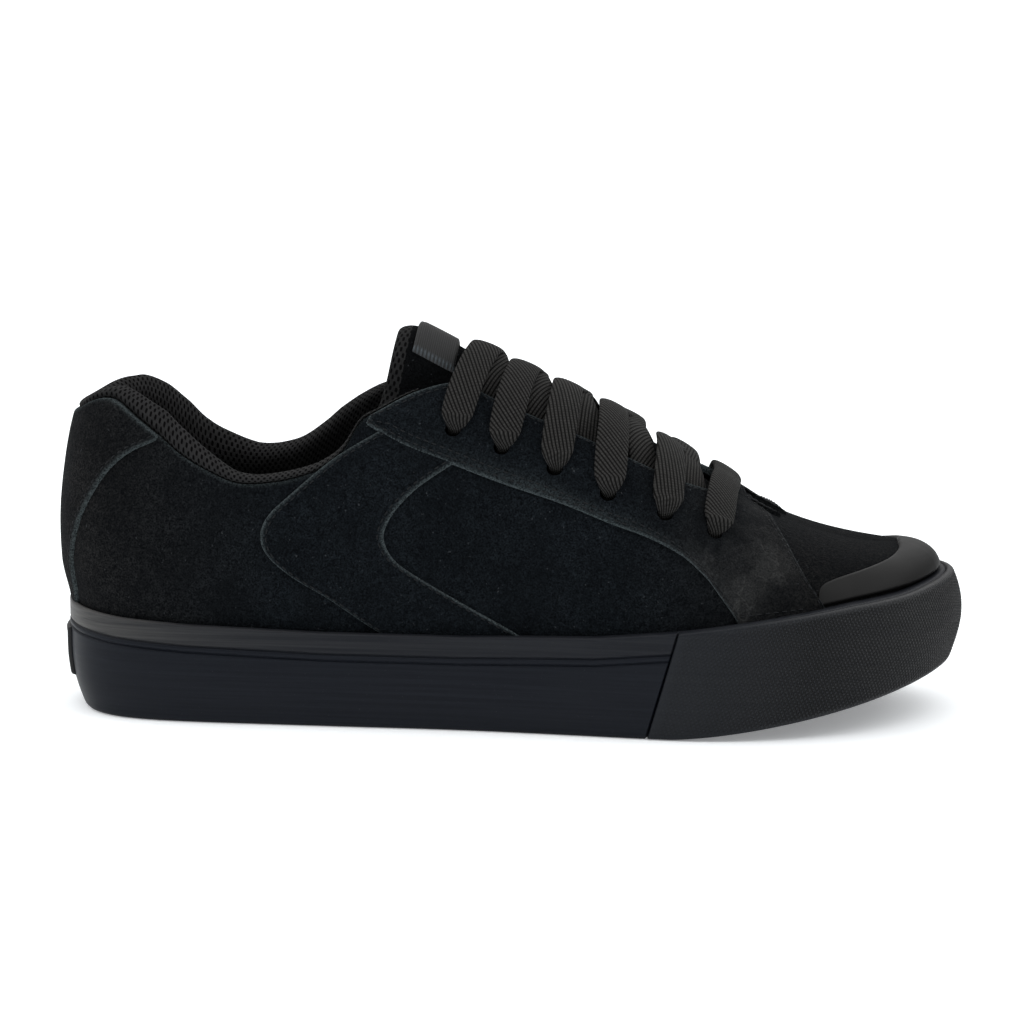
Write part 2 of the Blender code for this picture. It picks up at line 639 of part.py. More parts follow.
# Side panels: raised bands between two lines of the quarter
for name, lateral in (("side_panel_lateral", True), ("side_panel_medial", False)):
    rear = on_form(resample(PANEL_REAR, 15), lateral)
    front = on_form(resample(PANEL_FRONT, 15), lateral)
    across = np.linspace(0, 1, 6)[None]
    turn = rear[:, :1] * (1 - across) + front[:, :1] * across
    up = rear[:, 1:] * (1 - across) + front[:, 1:] * across
    overlay(name, turn, above_rim(turn, up), OVERLAY_THICK, SUEDE, 0.9)

# Heel counter: wide under the collar and narrow at the sole
edge = on_form(COUNTER_EDGE)
edge_base = outline(edge[:, 0], section(edge[:, 0])[:, 2] * BALL_WIDTH)
edge_low = up_of_height(edge[:, 0], sidewall_top(edge_base[:, 0]))
edge_share = np.clip((edge[:, 1] - edge_low) / (rim_up(edge[:, 0]) - edge_low), 0, 1)
rows = np.linspace(0, 1, 8)
half_turn = np.interp(rows, edge_share, edge[:, 0])
turn = half_turn[None] * np.linspace(-1, 1, 13)[:, None]
base = outline(turn.ravel(), section(station_of(turn.ravel()))[:, 2] * BALL_WIDTH)
low = up_of_height(turn.ravel(), sidewall_top(base[:, 0]) + FIT_GAP * 2).reshape(turn.shape)
high = rim_up(turn.ravel()).reshape(turn.shape)
overlay("heel_counter", turn, low + (high - low) * rows[None], OVERLAY_THICK, SUEDE, 0.9)

# Toe guard: a rubber cover from the sole's rim up over the end of the toe
guard_stations = np.linspace(GUARD_EDGE[0, 0], 1.0, 13)
guard_turns = np.concatenate([guard_stations, 2 - guard_stations[-2::-1]])
base = outline(guard_turns, section(station_of(guard_turns))[:, 2] * BALL_WIDTH)
low = up_of_height(guard_turns, sidewall_top(base[:, 0]) + FIT_GAP * 2)
high = low + (1 - low) * np.interp(station_of(guard_turns), GUARD_EDGE[:, 0], GUARD_EDGE[:, 1])
up = low[:, None] + (high - low)[:, None] * np.linspace(0, 1, 6)[None]
turn = np.broadcast_to(guard_turns[:, None], up.shape)
overlay("toe_guard", turn, up, GUARD_THICK, RUBBER, 0.35)

# Insole: a flat slab inside the upper's wall
insole_turns = np.concatenate([stations, 2 - stations[-2:0:-1]])
inset = section(station_of(insole_turns))[:, 2] * BALL_WIDTH + CUP_TUCK + UPPER_WALL + INSOLE_GAP
plan = outline(insole_turns, inset)
rings = []
for rise in (FLOOR_RISE * 2, INSOLE_THICK + FLOOR_RISE * 2):
    rings.append(np.concatenate([plan, (cup_floor(plan[:, 0]) + rise)[:, None]], 1))
points = np.concatenate(rings)
index = np.arange(len(points)).reshape(2, -1)
after = np.roll(index, -1, 1)
faces = [np.stack([index[0], after[0], after[1], index[1]], -1)]
half = len(stations)
for cap in index:
    lateral = cap[:half]
    medial = np.concatenate([cap[:1], cap[:half - 2:-1]])
    faces.append(np.stack([lateral[:-1], lateral[1:], medial[1:], medial[:-1]], -1))
make_object("insole", points, np.concatenate(faces), TEXTILE, 0.9)


def from_rim(turn, climb, out):
    """Point a given way above (or below) the collar's edge along the section, moved outward by out."""
    edge_up = rim_up(turn)
    at_edge = last_point(turn, edge_up)
    upward = last_point(turn, edge_up + 1e-3) - last_point(turn, edge_up - 1e-3)
    speed = np.linalg.norm(upward, axis=-1) / 2e-3
    below = shell(turn, edge_up + np.minimum(climb, 0) / speed, out)
    tangent = upward / np.linalg.norm(upward, axis=-1, keepdims=True)
    return below + tangent * np.maximum(climb, 0)[:, None]


# Collar lining: a padded roll that shows above the suede edge and lines the inside of the heel
collar_stop = np.interp(COLLAR_END, OUTLINE[:, 0], np.linspace(0, 1, len(OUTLINE)))
inside_stop = upper_stations[upper_stations <= collar_stop]
collar_turns = np.concatenate([-inside_stop[:0:-1], inside_stop])
place = along_of(last_point(collar_turns, rim_up(collar_turns))[:, 0])
roll = np.maximum(np.interp(place, RIM[:, 0], RIM[:, 3]) * INSTEP_HEIGHT, LEAST_ROLL)
pad = np.interp(place, COLLAR[:, 0], COLLAR[:, 1])
depth = np.interp(place, COLLAR[:, 0], COLLAR[:, 2])
wall = -(UPPER_WALL + LINING_GAP)
profile = [
    (-depth, wall - pad * 0.30),
    (-depth, wall + pad * 0),
    (-depth * 0.55, wall + pad * 0),
    (-depth * 0.22, wall + pad * 0),
    (roll * 0 + RIM_STEP, wall + pad * 0),
    (roll * 0 + RIM_STEP, -0.0006 + pad * 0),
    (roll * 0.45, -0.0002 - roll * 0.06),
    (roll * 0.85, -0.0008 - pad * 0.14),
    (roll * 1.00, wall - pad * 0.20),
    (roll * 0.80, wall - pad * 0.62),
    (roll * 0.30, wall - pad * 0.94),
    (-depth * 0.15, wall - pad * 1.00),
    (-depth * 0.55, wall - pad * 0.72),
]
loops = np.stack([from_rim(collar_turns, climb, out) for climb, out in profile], 1)
count, corners = loops.shape[:2]
index = np.arange(count * corners).reshape(count, corners)
after = np.roll(index, -1, 1)
faces = np.stack([index[:-1], index[1:], after[1:], after[:-1]], -1).reshape(-1, 4).tolist()
collar_points = loops.reshape(-1, 3)
mesh_faces = np.array(faces)
lining = make_object("collar_lining", collar_points, mesh_faces, TEXTILE, 0.95)
work = bmesh.new()
work.from_mesh(lining.data)
bmesh.ops.holes_fill(work, edges=[edge for edge in work.edges if edge.is_boundary])
bmesh.ops.triangulate(work, faces=[face for face in work.faces if len(face.verts) > 4])
bmesh.ops.recalc_face_normals(work, faces=work.faces)
work.to_mesh(lining.data)
work.free()


def tongue_face(station, share, lift):
    """Point of the tongue's face. Share runs from -1 at the lateral edge to 1 at the medial edge."""
    along = section(station)[:, 0]
    column = [np.interp(along, TONGUE[:, 0], TONGUE[:, k])[:, None] for k in (1, 2, 3)]
    slant = np.interp(along, [TONGUE[0, 0], 0.55], [TONGUE_SLANT, 0])[:, None] * np.abs(share) ** 2
    place = station[:, None] - slant
    turn = np.where(share <= 0, place, 2 - place)
    up = 1 - np.abs(share) * column[2]
    open_half = np.where(station < throat_end, 1 - rim_up(station), 1e-6)[:, None]
    fall = np.clip((1 - up) / np.maximum(open_half, 1e-6), 0, 1)
    fall = fall * fall * (3 - 2 * fall)
    out = column[0] * (1 - fall) - column[1] * fall + lift
    return shell(turn, up, out)


# Tongue: padded, rising through the throat and running on under the vamp
tongue_along = np.concatenate([[0.372, 0.378, 0.390], np.linspace(0.41, 0.79, 13)])
tongue_stations = ridge_station(tongue_along)
tongue_shares = np.broadcast_to(np.linspace(-1, 1, 11)[None], (16, 11))
padding = np.interp(tongue_along, TONGUE[:, 0], TONGUE[:, 4])[:, None]
edge_thin = 1 - 0.62 * np.abs(tongue_shares) ** 3
end_thin = np.interp(tongue_along, [0.372, 0.378, 0.390], [0.35, 0.75, 1.0])[:, None]
top_drop = -padding * (1 - end_thin) * 0.5
outer = tongue_face(tongue_stations, tongue_shares, top_drop + 0 * tongue_shares)
inner = tongue_face(tongue_stations, tongue_shares, top_drop - padding * edge_thin * end_thin)
make_object("tongue", *solid_between(outer, inner), SUEDE, 0.9)

# Tongue label: a bare woven tab on the tongue's face
label_along = np.linspace(LABEL_SPAN[0], LABEL_SPAN[1], 6)
label_shares = np.broadcast_to(np.linspace(-LABEL_HALF, LABEL_HALF, 9)[None], (6, 9))
label_stations = ridge_station(label_along)
outer = tongue_face(label_stations, label_shares, np.full((6, 9), LABEL_GAP + LABEL_THICK))
inner = tongue_face(label_stations, label_shares, np.full((6, 9), LABEL_GAP))
make_object("tongue_label", *solid_between(outer, inner), TEXTILE, 0.7)


# Eyelets: holes through the facing and the upper, bored square to the form
def bore(name, spots, radius, reach_out, reach_in):
    """One cutter holding a short eight-sided rod at each spot."""
    normal = last_normal(spots[:, 0], spots[:, 1])
    centre = last_point(spots[:, 0], spots[:, 1])
    side = np.cross(normal, [0.0, 0.0, 1.0])
    side = side / np.linalg.norm(side, axis=1, keepdims=True)
    other = np.cross(normal, side)
    angle = np.arange(8) * np.pi / 4
    circle = (side[:, None] * np.cos(angle)[None, :, None] + other[:, None] * np.sin(angle)[None, :, None]) * radius
    rods = np.stack([centre[:, None] + circle + normal[:, None] * reach_out,
                     centre[:, None] + circle - normal[:, None] * reach_in], 1)
    points = rods.reshape(-1, 3)
    faces = []
    for k in range(len(spots)):
        base = k * 16
        faces.append([base + n for n in range(8)])
        faces.append([base + 8 + n for n in range(7, -1, -1)])
        faces.extend([base + n, base + 8 + n, base + 8 + (n + 1) % 8, base + (n + 1) % 8] for n in range(8))
    mesh = bpy.data.meshes.new(name)
    mesh.from_pydata(points.tolist(), [], faces)
    work = bmesh.new()
    work.from_mesh(mesh)
    bmesh.ops.recalc_face_normals(work, faces=work.faces)
    work.to_mesh(mesh)
    work.free()
    cutter = bpy.data.objects.new(name, mesh)
    bpy.context.scene.collection.objects.link(cutter)
    cutter.hide_render = True
    cutter.display_type = 'WIRE'
    return cutter


spots = np.concatenate([on_form(EYELETS, True), on_form(EYELETS, False)])
cutter = bore("eyelet_cutter", spots, EYELET_DIAMETER / 2, 0.005, 0.006)
for obj in (upper, eyestay):
    cut = obj.modifiers.new("eyelets", 'BOOLEAN')
    cut.operation = 'DIFFERENCE'
    cut.solver = 'EXACT'
    cut.object = cutter


def ribbon(turn, up, out, width, thick):
    """Points and faces of a flat band through places on the form, with six corners to each cross section."""
    centre = shell(turn, up, out)
    normal = last_normal(turn, up)
    ahead = np.gradient(centre, axis=0)
    ahead = ahead / np.linalg.norm(ahead, axis=1, keepdims=True)
    side = np.cross(ahead, normal)
    side = side / np.linalg.norm(side, axis=1, keepdims=True)
    face = np.cross(side, ahead)
    corners = [(-0.5, 0.0), (-0.38, 0.5), (0.38, 0.5), (0.5, 0.0), (0.38, -0.5), (-0.38, -0.5)]
    loops = np.stack([centre + side * (width * a)[:, None] + face * thick * b for a, b in corners], 1)
    count = len(turn)
    index = np.arange(count * 6).reshape(count, 6)
    after = np.roll(index, -1, 1)
    faces = np.stack([index[:-1], index[1:], after[1:], after[:-1]], -1).reshape(-1, 4).tolist()
    faces.append(index[0].tolist())
    faces.append(index[-1].tolist())
    return loops.reshape(-1, 3), faces


def make_ribbon(name, place):
    points, faces = place
    mesh = bpy.data.meshes.new(name)
    mesh.from_pydata(points.tolist(), [], faces)
    work = bmesh.new()
    work.from_mesh(mesh)
    bmesh.ops.recalc_face_normals(work, faces=work.faces)
    work.to_mesh(mesh)
    work.free()
    obj = bpy.data.objects.new(name, mesh)
    bpy.context.scene.collection.objects.link(obj)
    material = bpy.data.materials.new(name)
    material.use_nodes = True
    shader = material.node_tree.nodes["Principled BSDF"]
    shader.inputs["Base Color"].default_value = (*TEXTILE, 1.0)
    shader.inputs["Roughness"].default_value = 0.9
    mesh.materials.append(material)
    return obj


# Laces: each strand rises from an eyelet over the facing's edge, crosses the tongue and stops short of the far facing
lace_rest = OVERLAY_GAP + OVERLAY_THICK + LACE_GAP + LACE_THICK / 2
for k in range(6):
    strands = []
    for lateral in (True, False):
        hole = on_form(EYELETS[k:k + 1], lateral)[0]
        hole_station = float(station_of(hole[0]))
        top_station = float(ridge_station(LACE_TOPS[k]))
        edge_up = float(rim_up(np.array([(hole_station + top_station) / 2]))[0])
        front_bar = k == 5
        far_station = top_station + max(top_station - hole_station, LACE_LEAN) if not front_bar else hole_station
        far_station = min(far_station, throat_end - 0.03)
        far_up = float(rim_up(np.array([far_station]))[0]) if not front_bar else 1.0
        share = np.linspace(0, 1, 7)
        near_turn = hole_station + (top_station - hole_station) * share
        near_up = hole[1] + 0.004 + (1 - hole[1] - 0.004) * share
        far_share = np.linspace(0, 1, 4)[1:]
        far_turn = 2 - (top_station + (far_station - top_station) * far_share * LACE_STUB)
        far_ups = 1 - (1 - far_up) * LACE_STUB * far_share
        if front_bar:
            far_turn = 2 - near_turn[-2::-1]
            far_ups = near_up[-2::-1]
        turn = np.concatenate([near_turn, far_turn])
        up = np.concatenate([near_up, far_ups])
        turn = turn if lateral else 2 - turn
        tongue_top = np.interp(LACE_TOPS[k], TONGUE[:, 0], TONGUE[:, 1])
        over = max(tongue_top + LACE_GAP + LACE_THICK / 2 + 0.0006, -0.0010)
        if front_bar:
            over = lace_rest
        inward = np.clip((up - edge_up) / (1 - edge_up), 0, 1)
        out = lace_rest + (over - lace_rest) * inward * inward * (3 - 2 * inward)
        out = out + (LACE_THICK * 0.6 if not lateral else 0.0) * np.clip((up - edge_up + 0.05) * 14, 0, 1)
        width = LACE_WIDTH * np.interp(up, [hole[1], edge_up, 1], [0.55, 0.85, 1.0])
        strands.append(ribbon(turn, up, out, width, LACE_THICK))
        if front_bar:
            break
    first = make_ribbon(f"lace_{6 - k}", strands[0])
    if len(strands) > 1:
        other = make_ribbon(f"lace_{6 - k}_other", strands[1])
        other.hide_render = True
        other.display_type = 'WIRE'
        join = first.modifiers.new("crossing", 'BOOLEAN')
        join.operation = 'UNION'
        join.solver = 'EXACT'
        join.object = other
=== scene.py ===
"""Looks of a black suede low-top skateboarding shoe for the right foot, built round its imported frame.

Metres. The toe points to +X, the medial side to +Y, up is +Z, and the heel rests on the floor at the origin.
Tables hold shares of LENGTH along, of BALL_WIDTH across and of INSTEP_HEIGHT upward.
"""
import json
import math
import bmesh
import bpy
import numpy as np
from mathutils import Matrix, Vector

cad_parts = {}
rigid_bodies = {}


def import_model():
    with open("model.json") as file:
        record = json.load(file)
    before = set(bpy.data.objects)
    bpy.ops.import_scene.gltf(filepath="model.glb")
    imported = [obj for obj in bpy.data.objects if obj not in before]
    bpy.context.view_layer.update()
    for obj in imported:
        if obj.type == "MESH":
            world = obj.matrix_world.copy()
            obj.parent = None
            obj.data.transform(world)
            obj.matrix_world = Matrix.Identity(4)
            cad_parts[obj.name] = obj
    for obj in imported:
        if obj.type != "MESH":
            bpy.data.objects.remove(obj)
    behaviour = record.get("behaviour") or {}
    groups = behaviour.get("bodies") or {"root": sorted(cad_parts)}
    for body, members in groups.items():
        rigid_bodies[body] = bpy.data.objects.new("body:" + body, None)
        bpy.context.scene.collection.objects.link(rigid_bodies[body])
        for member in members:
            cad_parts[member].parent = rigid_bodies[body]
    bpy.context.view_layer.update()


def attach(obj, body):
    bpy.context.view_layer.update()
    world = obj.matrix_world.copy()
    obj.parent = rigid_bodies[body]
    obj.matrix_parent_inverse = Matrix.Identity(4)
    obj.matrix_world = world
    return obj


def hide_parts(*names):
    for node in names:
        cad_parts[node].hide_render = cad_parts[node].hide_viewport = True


for leftover in list(bpy.data.objects):
    bpy.data.objects.remove(leftover)
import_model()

# Camera
# A long lens, low on the lateral side and turned a little toward the toe, as the shoe was photographed.
CAMERA_TURN = math.radians(3.8)
CAMERA_RISE = math.radians(10.4)
CAMERA_AWAY = 1.145
CAMERA_LENS = 120.0
LOOK_AT = Vector((0.1097, 0.0, 0.0655))
camera_back = Vector((
    math.sin(CAMERA_TURN) * math.cos(CAMERA_RISE),
    -math.cos(CAMERA_TURN) * math.cos(CAMERA_RISE),
    math.sin(CAMERA_RISE),
))
camera = bpy.data.objects.new("camera", bpy.data.cameras.new("camera"))
camera.data.lens = CAMERA_LENS
camera.data.clip_end = 60.0
camera.location = LOOK_AT + camera_back * CAMERA_AWAY
camera.rotation_euler = camera_back.to_track_quat('Z', 'Y').to_euler()
bpy.context.scene.collection.objects.link(camera)
bpy.context.scene.camera = camera

# Upper wall
# One pulled skin of black cow suede, 2 mm thick with its textile backing, closed over the vamp and open at
# the collar, the throat and underneath. It is stretched over the last, whose sections give its form.
LENGTH = 0.300
BALL_WIDTH = 0.108
INSTEP_HEIGHT = 0.118
HEEL_TO_ORIGIN = 0.040
UPPER_WALL = 0.0020
CUP_TUCK = 0.0016
SWELL_BLEND = 0.014
AROUND_STEPS = 212
UP_STEPS = 84

# Plan outline of the sole: along, lateral half width, medial half width
OUTLINE = np.array([
    (0.000, 0.000, 0.000),
    (0.018, 0.195, 0.190),
    (0.070, 0.315, 0.305),
    (0.150, 0.358, 0.345),
    (0.240, 0.372, 0.335),
    (0.340, 0.388, 0.312),
    (0.440, 0.405, 0.308),
    (0.540, 0.436, 0.338),
    (0.640, 0.474, 0.400),
    (0.730, 0.494, 0.460),
    (0.815, 0.462, 0.480),
    (0.890, 0.375, 0.450),
    (0.950, 0.235, 0.365),
    (0.988, 0.070, 0.235),
    (1.000, -0.085, 0.085),
])

# Sole heights: along, top of the sidewall, floor inside the cup
SOLE_HEIGHTS = np.array([
    (0.000, 0.3136, 0.203),
    (0.070, 0.2966, 0.190),
    (0.150, 0.2839, 0.178),
    (0.300, 0.2712, 0.155),
    (0.450, 0.2712, 0.136),
    (0.600, 0.2839, 0.121),
    (0.700, 0.3093, 0.118),
    (0.800, 0.3432, 0.136),
    (0.880, 0.3686, 0.163),
    (0.940, 0.3800, 0.190),
    (1.000, 0.3980, 0.225),
])

# One row per outline row: ridge along, ridge height, inset from the sole's edge, swell and rise of the side,
# fullness of the crown
SECTIONS = np.array([
    (0.115, 1.120, 0.024, 0.35, 0.42, 0.95),
    (0.120, 1.120, 0.024, 0.32, 0.42, 0.93),
    (0.145, 1.120, 0.025, 0.22, 0.42, 0.88),
    (0.190, 1.110, 0.027, 0.12, 0.42, 0.84),
    (0.255, 1.095, 0.028, 0.08, 0.42, 0.84),
    (0.340, 1.065, 0.029, 0.04, 0.42, 0.86),
    (0.430, 1.015, 0.030, 0.02, 0.44, 0.88),
    (0.525, 0.935, 0.031, 0.02, 0.46, 0.86),
    (0.620, 0.832, 0.032, 0.03, 0.54, 0.78),
    (0.710, 0.688, 0.034, 0.06, 0.62, 0.64),
    (0.790, 0.562, 0.037, 0.07, 0.70, 0.62),
    (0.850, 0.500, 0.042, 0.08, 0.80, 0.66),
    (0.885, 0.478, 0.048, 0.08, 0.90, 0.70),
    (0.900, 0.473, 0.053, 0.08, 0.92, 0.72),
    (0.905, 0.471, 0.055, 0.08, 0.92, 0.72),
])

# Edge of the collar and of the throat: along, lateral height, medial height, rise of the padded roll above it
RIM = np.array([
    (0.000, 0.842, 0.842, 0.046),
    (0.016, 0.846, 0.846, 0.046),
    (0.040, 0.887, 0.878, 0.042),
    (0.058, 0.902, 0.886, 0.042),
    (0.073, 0.893, 0.878, 0.050),
    (0.097, 0.848, 0.832, 0.066),
    (0.121, 0.803, 0.768, 0.076),
    (0.145, 0.753, 0.712, 0.072),
    (0.175, 0.710, 0.690, 0.052),
    (0.203, 0.681, 0.682, 0.034),
    (0.227, 0.678, 0.690, 0.027),
    (0.255, 0.687, 0.712, 0.027),
    (0.282, 0.705, 0.762, 0.026),
    (0.301, 0.726, 0.806, 0.026),
    (0.321, 0.768, 0.846, 0.024),
    (0.340, 0.850, 0.882, 0.014),
    (0.358, 0.877, 0.902, 0.010),
    (0.396, 0.926, 0.936, 0.008),
    (0.435, 0.950, 0.954, 0.006),
    (0.460, 0.936, 0.936, 0.006),
    (0.493, 0.899, 0.899, 0.006),
    (0.583, 0.806, 0.806, 0.006),
    (0.637, 0.746, 0.746, 0.006),
    (0.680, 0.694, 0.694, 0.006),
    (0.717, 0.655, 0.655, 0.006),
    (0.735, 0.6415, 0.6415, 0.006),
    (0.760, 0.632, 0.632, 0.006),
    (1.000, 0.560, 0.560, 0.006),
])

# Creases, soft troughs in side view: along and height of the two ends, depth, half width in metres
CREASES = np.array([
    (0.640, 0.660, 0.690, 0.480, 0.00050, 0.0030),
    (0.690, 0.600, 0.735, 0.440, 0.00055, 0.0026),
    (0.765, 0.600, 0.790, 0.470, 0.00045, 0.0030),
    (0.560, 0.560, 0.600, 0.380, 0.00035, 0.0050),
    (0.270, 0.660, 0.330, 0.520, 0.00040, 0.0060),
    (0.105, 0.700, 0.160, 0.560, 0.00035, 0.0060),
    (0.055, 0.500, 0.120, 0.430, 0.00030, 0.0050),
    (0.330, 0.640, 0.450, 0.600, 0.00030, 0.0070),
])


def unit(vectors):
    """Vectors divided by their own lengths."""
    return vectors / np.linalg.norm(vectors, axis=-1, keepdims=True)


def eased(share):
    """Share that starts and ends level: three squares less two cubes."""
    return share * share * (3 - 2 * share)


def quarter_round(share):
    """Height of a quarter circle at a share of its radius, 1 from there on."""
    return np.sqrt(1 - (1 - np.clip(share, 0, 1)) ** 2)


def run_along(line):
    """Distance run along a line of points, from 0 at its start."""
    return np.concatenate([[0], np.cumsum(np.linalg.norm(np.diff(line, axis=0), axis=1))])


def run_across(grid):
    """Distance run over a grid of points along each of its rows, from 0 at the row's start."""
    return np.cumsum(np.pad(np.linalg.norm(np.diff(grid, axis=1), axis=2), ((0, 0), (1, 0))), 1)


def periodic_spline(values, at):
    """Closed cubic spline through rows at 0, 1, 2 and so on; one linear solve gives its bends."""
    rows = np.asarray(values, float)
    count = len(rows)
    matrix = 4 * np.eye(count) + np.roll(np.eye(count), 1, 0) + np.roll(np.eye(count), -1, 0)
    bend = np.linalg.solve(matrix, 6 * (np.roll(rows, -1, 0) - 2 * rows + np.roll(rows, 1, 0)))
    at = np.asarray(at, float)
    index = np.floor(at).astype(int)
    part = at - index
    if rows.ndim > 1:
        part = part[..., None]
    here = index % count
    after = (index + 1) % count
    straight = rows[here] * (1 - part) + rows[after] * part
    curved = ((1 - part) ** 3 - (1 - part)) * bend[here] + (part ** 3 - part) * bend[after]
    return straight + curved / 6


def smooth_line(rows, at):
    """Curve through the rows, read at places along their numbering; its slope joins a row's neighbours."""
    rows = np.asarray(rows, float)
    padded = np.concatenate([2 * rows[:1] - rows[1:2], rows, 2 * rows[-1:] - rows[-2:-1]])
    i = np.minimum(np.asarray(at, float).astype(int), len(rows) - 2)
    f = (at - i)[:, None]
    a, b, c, d = padded[i], padded[i + 1], padded[i + 2], padded[i + 3]
    return b + 0.5 * f * (c - a + f * (2 * a - 5 * b + 4 * c - d + f * (3 * (b - c) + d - a)))


def resample(rows, count):
    """Evenly spread points on a smooth line through the rows."""
    line = smooth_line(rows, np.linspace(0, len(rows) - 1, 40 * len(rows)))
    run = run_along(line)
    at = np.linspace(0, run[-1], count)
    return np.stack([np.interp(at, run, line[:, k]) for k in range(line.shape[1])], 1)


def along_of(x):
    """Share of LENGTH from the back of the heel."""
    return (x + HEEL_TO_ORIGIN) / LENGTH


def station_of(turn):
    """Station 0 to 1 from heel to toe tip; a turn of 0 to 1 is the lateral side and 1 to 2 the medial one."""
    return 1 - np.abs(1 - np.mod(turn, 2.0))


def outline(turn, inset=0.0):
    """Plan point on the sole's outline, moved inward by the inset at right angles to it."""
    x = OUTLINE[:, 0] * LENGTH - HEEL_TO_ORIGIN
    ring_x = np.concatenate([x, x[-2:0:-1]])
    ring_y = np.concatenate([-OUTLINE[:, 1], OUTLINE[-2:0:-1, 2]]) * BALL_WIDTH
    ring = np.stack([ring_x, ring_y], 1)
    at = np.mod(np.asarray(turn, float), 2.0) * (len(OUTLINE) - 1)
    point = periodic_spline(ring, at)
    tangent = periodic_spline(ring, at + 1e-4) - periodic_spline(ring, at - 1e-4)
    tangent = unit(tangent)
    inward = np.stack([-tangent[..., 1], tangent[..., 0]], -1)
    return point + inward * np.asarray(inset)[..., None]


def sidewall_top(x):
    return np.interp(along_of(x), SOLE_HEIGHTS[:, 0], SOLE_HEIGHTS[:, 1]) * INSTEP_HEIGHT


def cup_floor(x):
    return np.interp(along_of(x), SOLE_HEIGHTS[:, 0], SOLE_HEIGHTS[:, 2]) * INSTEP_HEIGHT


def section(station):
    """Row of the section table at any station, on a closed spline."""
    rows = np.concatenate([SECTIONS, SECTIONS[-2:0:-1]])
    return periodic_spline(rows, np.asarray(station, float) * (len(SECTIONS) - 1))


def section_foot(turn):
    """Plan point where a section starts, inset from the sole's outline."""
    return outline(turn, section(station_of(turn))[:, 2] * BALL_WIDTH)


def last_point(turn, up):
    """Point of the last: a cubic arch from the sole's edge up to the ridge, tucked in at the cup."""
    turn, up = np.broadcast_arrays(np.asarray(turn, float), np.asarray(up, float))
    station = station_of(turn)
    row = section(station)
    base = outline(turn, row[..., 2] * BALL_WIDTH)
    ridge_x = row[..., 0] * LENGTH - HEEL_TO_ORIGIN
    ridge_z = row[..., 1] * INSTEP_HEIGHT
    both = outline(station)[..., 1] + outline(2 - station)[..., 1]
    ridge_y = both / 2 * np.clip(station * 6 - 0.5, 0, 1)
    foot = cup_floor(base[..., 0]) + 0.0003
    first = (1 - up) ** 3
    second = 3 * up * (1 - up) ** 2
    third = 3 * up * up * (1 - up)
    fourth = up ** 3
    spread = first + second * (1 + row[..., 3]) + third * row[..., 5]
    rise = second * row[..., 4] + third + fourth
    height = foot + (ridge_z - foot) * rise
    away = np.hypot(base[..., 0] - ridge_x, base[..., 1] - ridge_y)
    held = np.clip(1 - (height - sidewall_top(base[..., 0])) / SWELL_BLEND, 0, 1)
    spread = spread - CUP_TUCK / away * held * held * (3 - 2 * held) * (1 - fourth)
    x = ridge_x + (base[..., 0] - ridge_x) * spread
    y = ridge_y + (base[..., 1] - ridge_y) * spread
    return np.stack([x, y, height], -1)


def last_normal(turn, up):
    """Outward unit normal from small steps; near the ridge both sides share one normal."""
    turn, up = np.broadcast_arrays(np.asarray(turn, float), np.asarray(up, float))
    held = np.minimum(up, 0.96)

    def one_side(place):
        across = last_point(place + 5e-4, held) - last_point(place - 5e-4, held)
        upward = last_point(place, held + 5e-4) - last_point(place, held - 5e-4)
        return unit(np.cross(across, upward))

    share = np.clip((up - 0.86) / 0.14, 0, 1)[..., None]
    share = eased(share) / 2
    return unit(one_side(turn) * (1 - share) + one_side(2 - turn) * share)


def creased(point):
    """Small shift of the suede: listed troughs, each a bell across its line that fades at both ends."""
    side = np.stack([along_of(point[..., 0]) * LENGTH, point[..., 2]], -1)
    shift = np.zeros(point.shape[:-1])
    for x0, z0, x1, z1, depth, width in CREASES:
        start = np.array([x0 * LENGTH, z0 * INSTEP_HEIGHT])
        run = np.array([x1 * LENGTH, z1 * INSTEP_HEIGHT]) - start
        reach = np.hypot(*run)
        ahead = ((side - start) @ run) / reach
        beside = ((side - start) @ np.array([-run[1], run[0]])) / reach
        fade = np.exp(-((ahead - reach / 2) / (reach * 0.45)) ** 4)
        shift = shift - depth * fade * np.exp(-(beside / width) ** 2)
    wave = np.sin(point[..., 0] * 95 + point[..., 2] * 60) * np.sin(point[..., 2] * 120 - point[..., 0] * 40)
    return shift + 0.00018 * wave


def skin(turn, up, out):
    """Point of the shoe's suede face, moved outward by out."""
    point = last_point(turn, up)
    return point + last_normal(turn, up) * (np.asarray(out) + creased(point))[..., None]


RIM_LINE = resample(RIM, 400)


def rim_up(turn):
    """How far up the section the edge of the collar or throat lies; 1 where the vamp is closed."""
    turn = np.asarray(turn, float)
    ladder = np.linspace(0.2, 1.0, 401)
    points = last_point(turn[:, None], ladder[None])
    lateral = (np.mod(turn, 2.0) <= 1.0)[:, None]
    at = along_of(points[..., 0])
    edges = [np.interp(at, RIM_LINE[:, 0], RIM_LINE[:, side]) for side in (1, 2)]
    edge = np.where(lateral, *edges)
    over = points[..., 2] - edge * INSTEP_HEIGHT
    first = np.argmax(over > 0, 1)
    first = np.where((over > 0).any(1), np.maximum(first, 1), 400)
    row = np.arange(len(turn))
    before = over[row, first - 1]
    after = over[row, first]
    share = np.where(after > 0, before / (before - after + 1e-12), 1.0)
    return ladder[first - 1] + np.clip(share, 0, 1) * (ladder[1] - ladder[0])


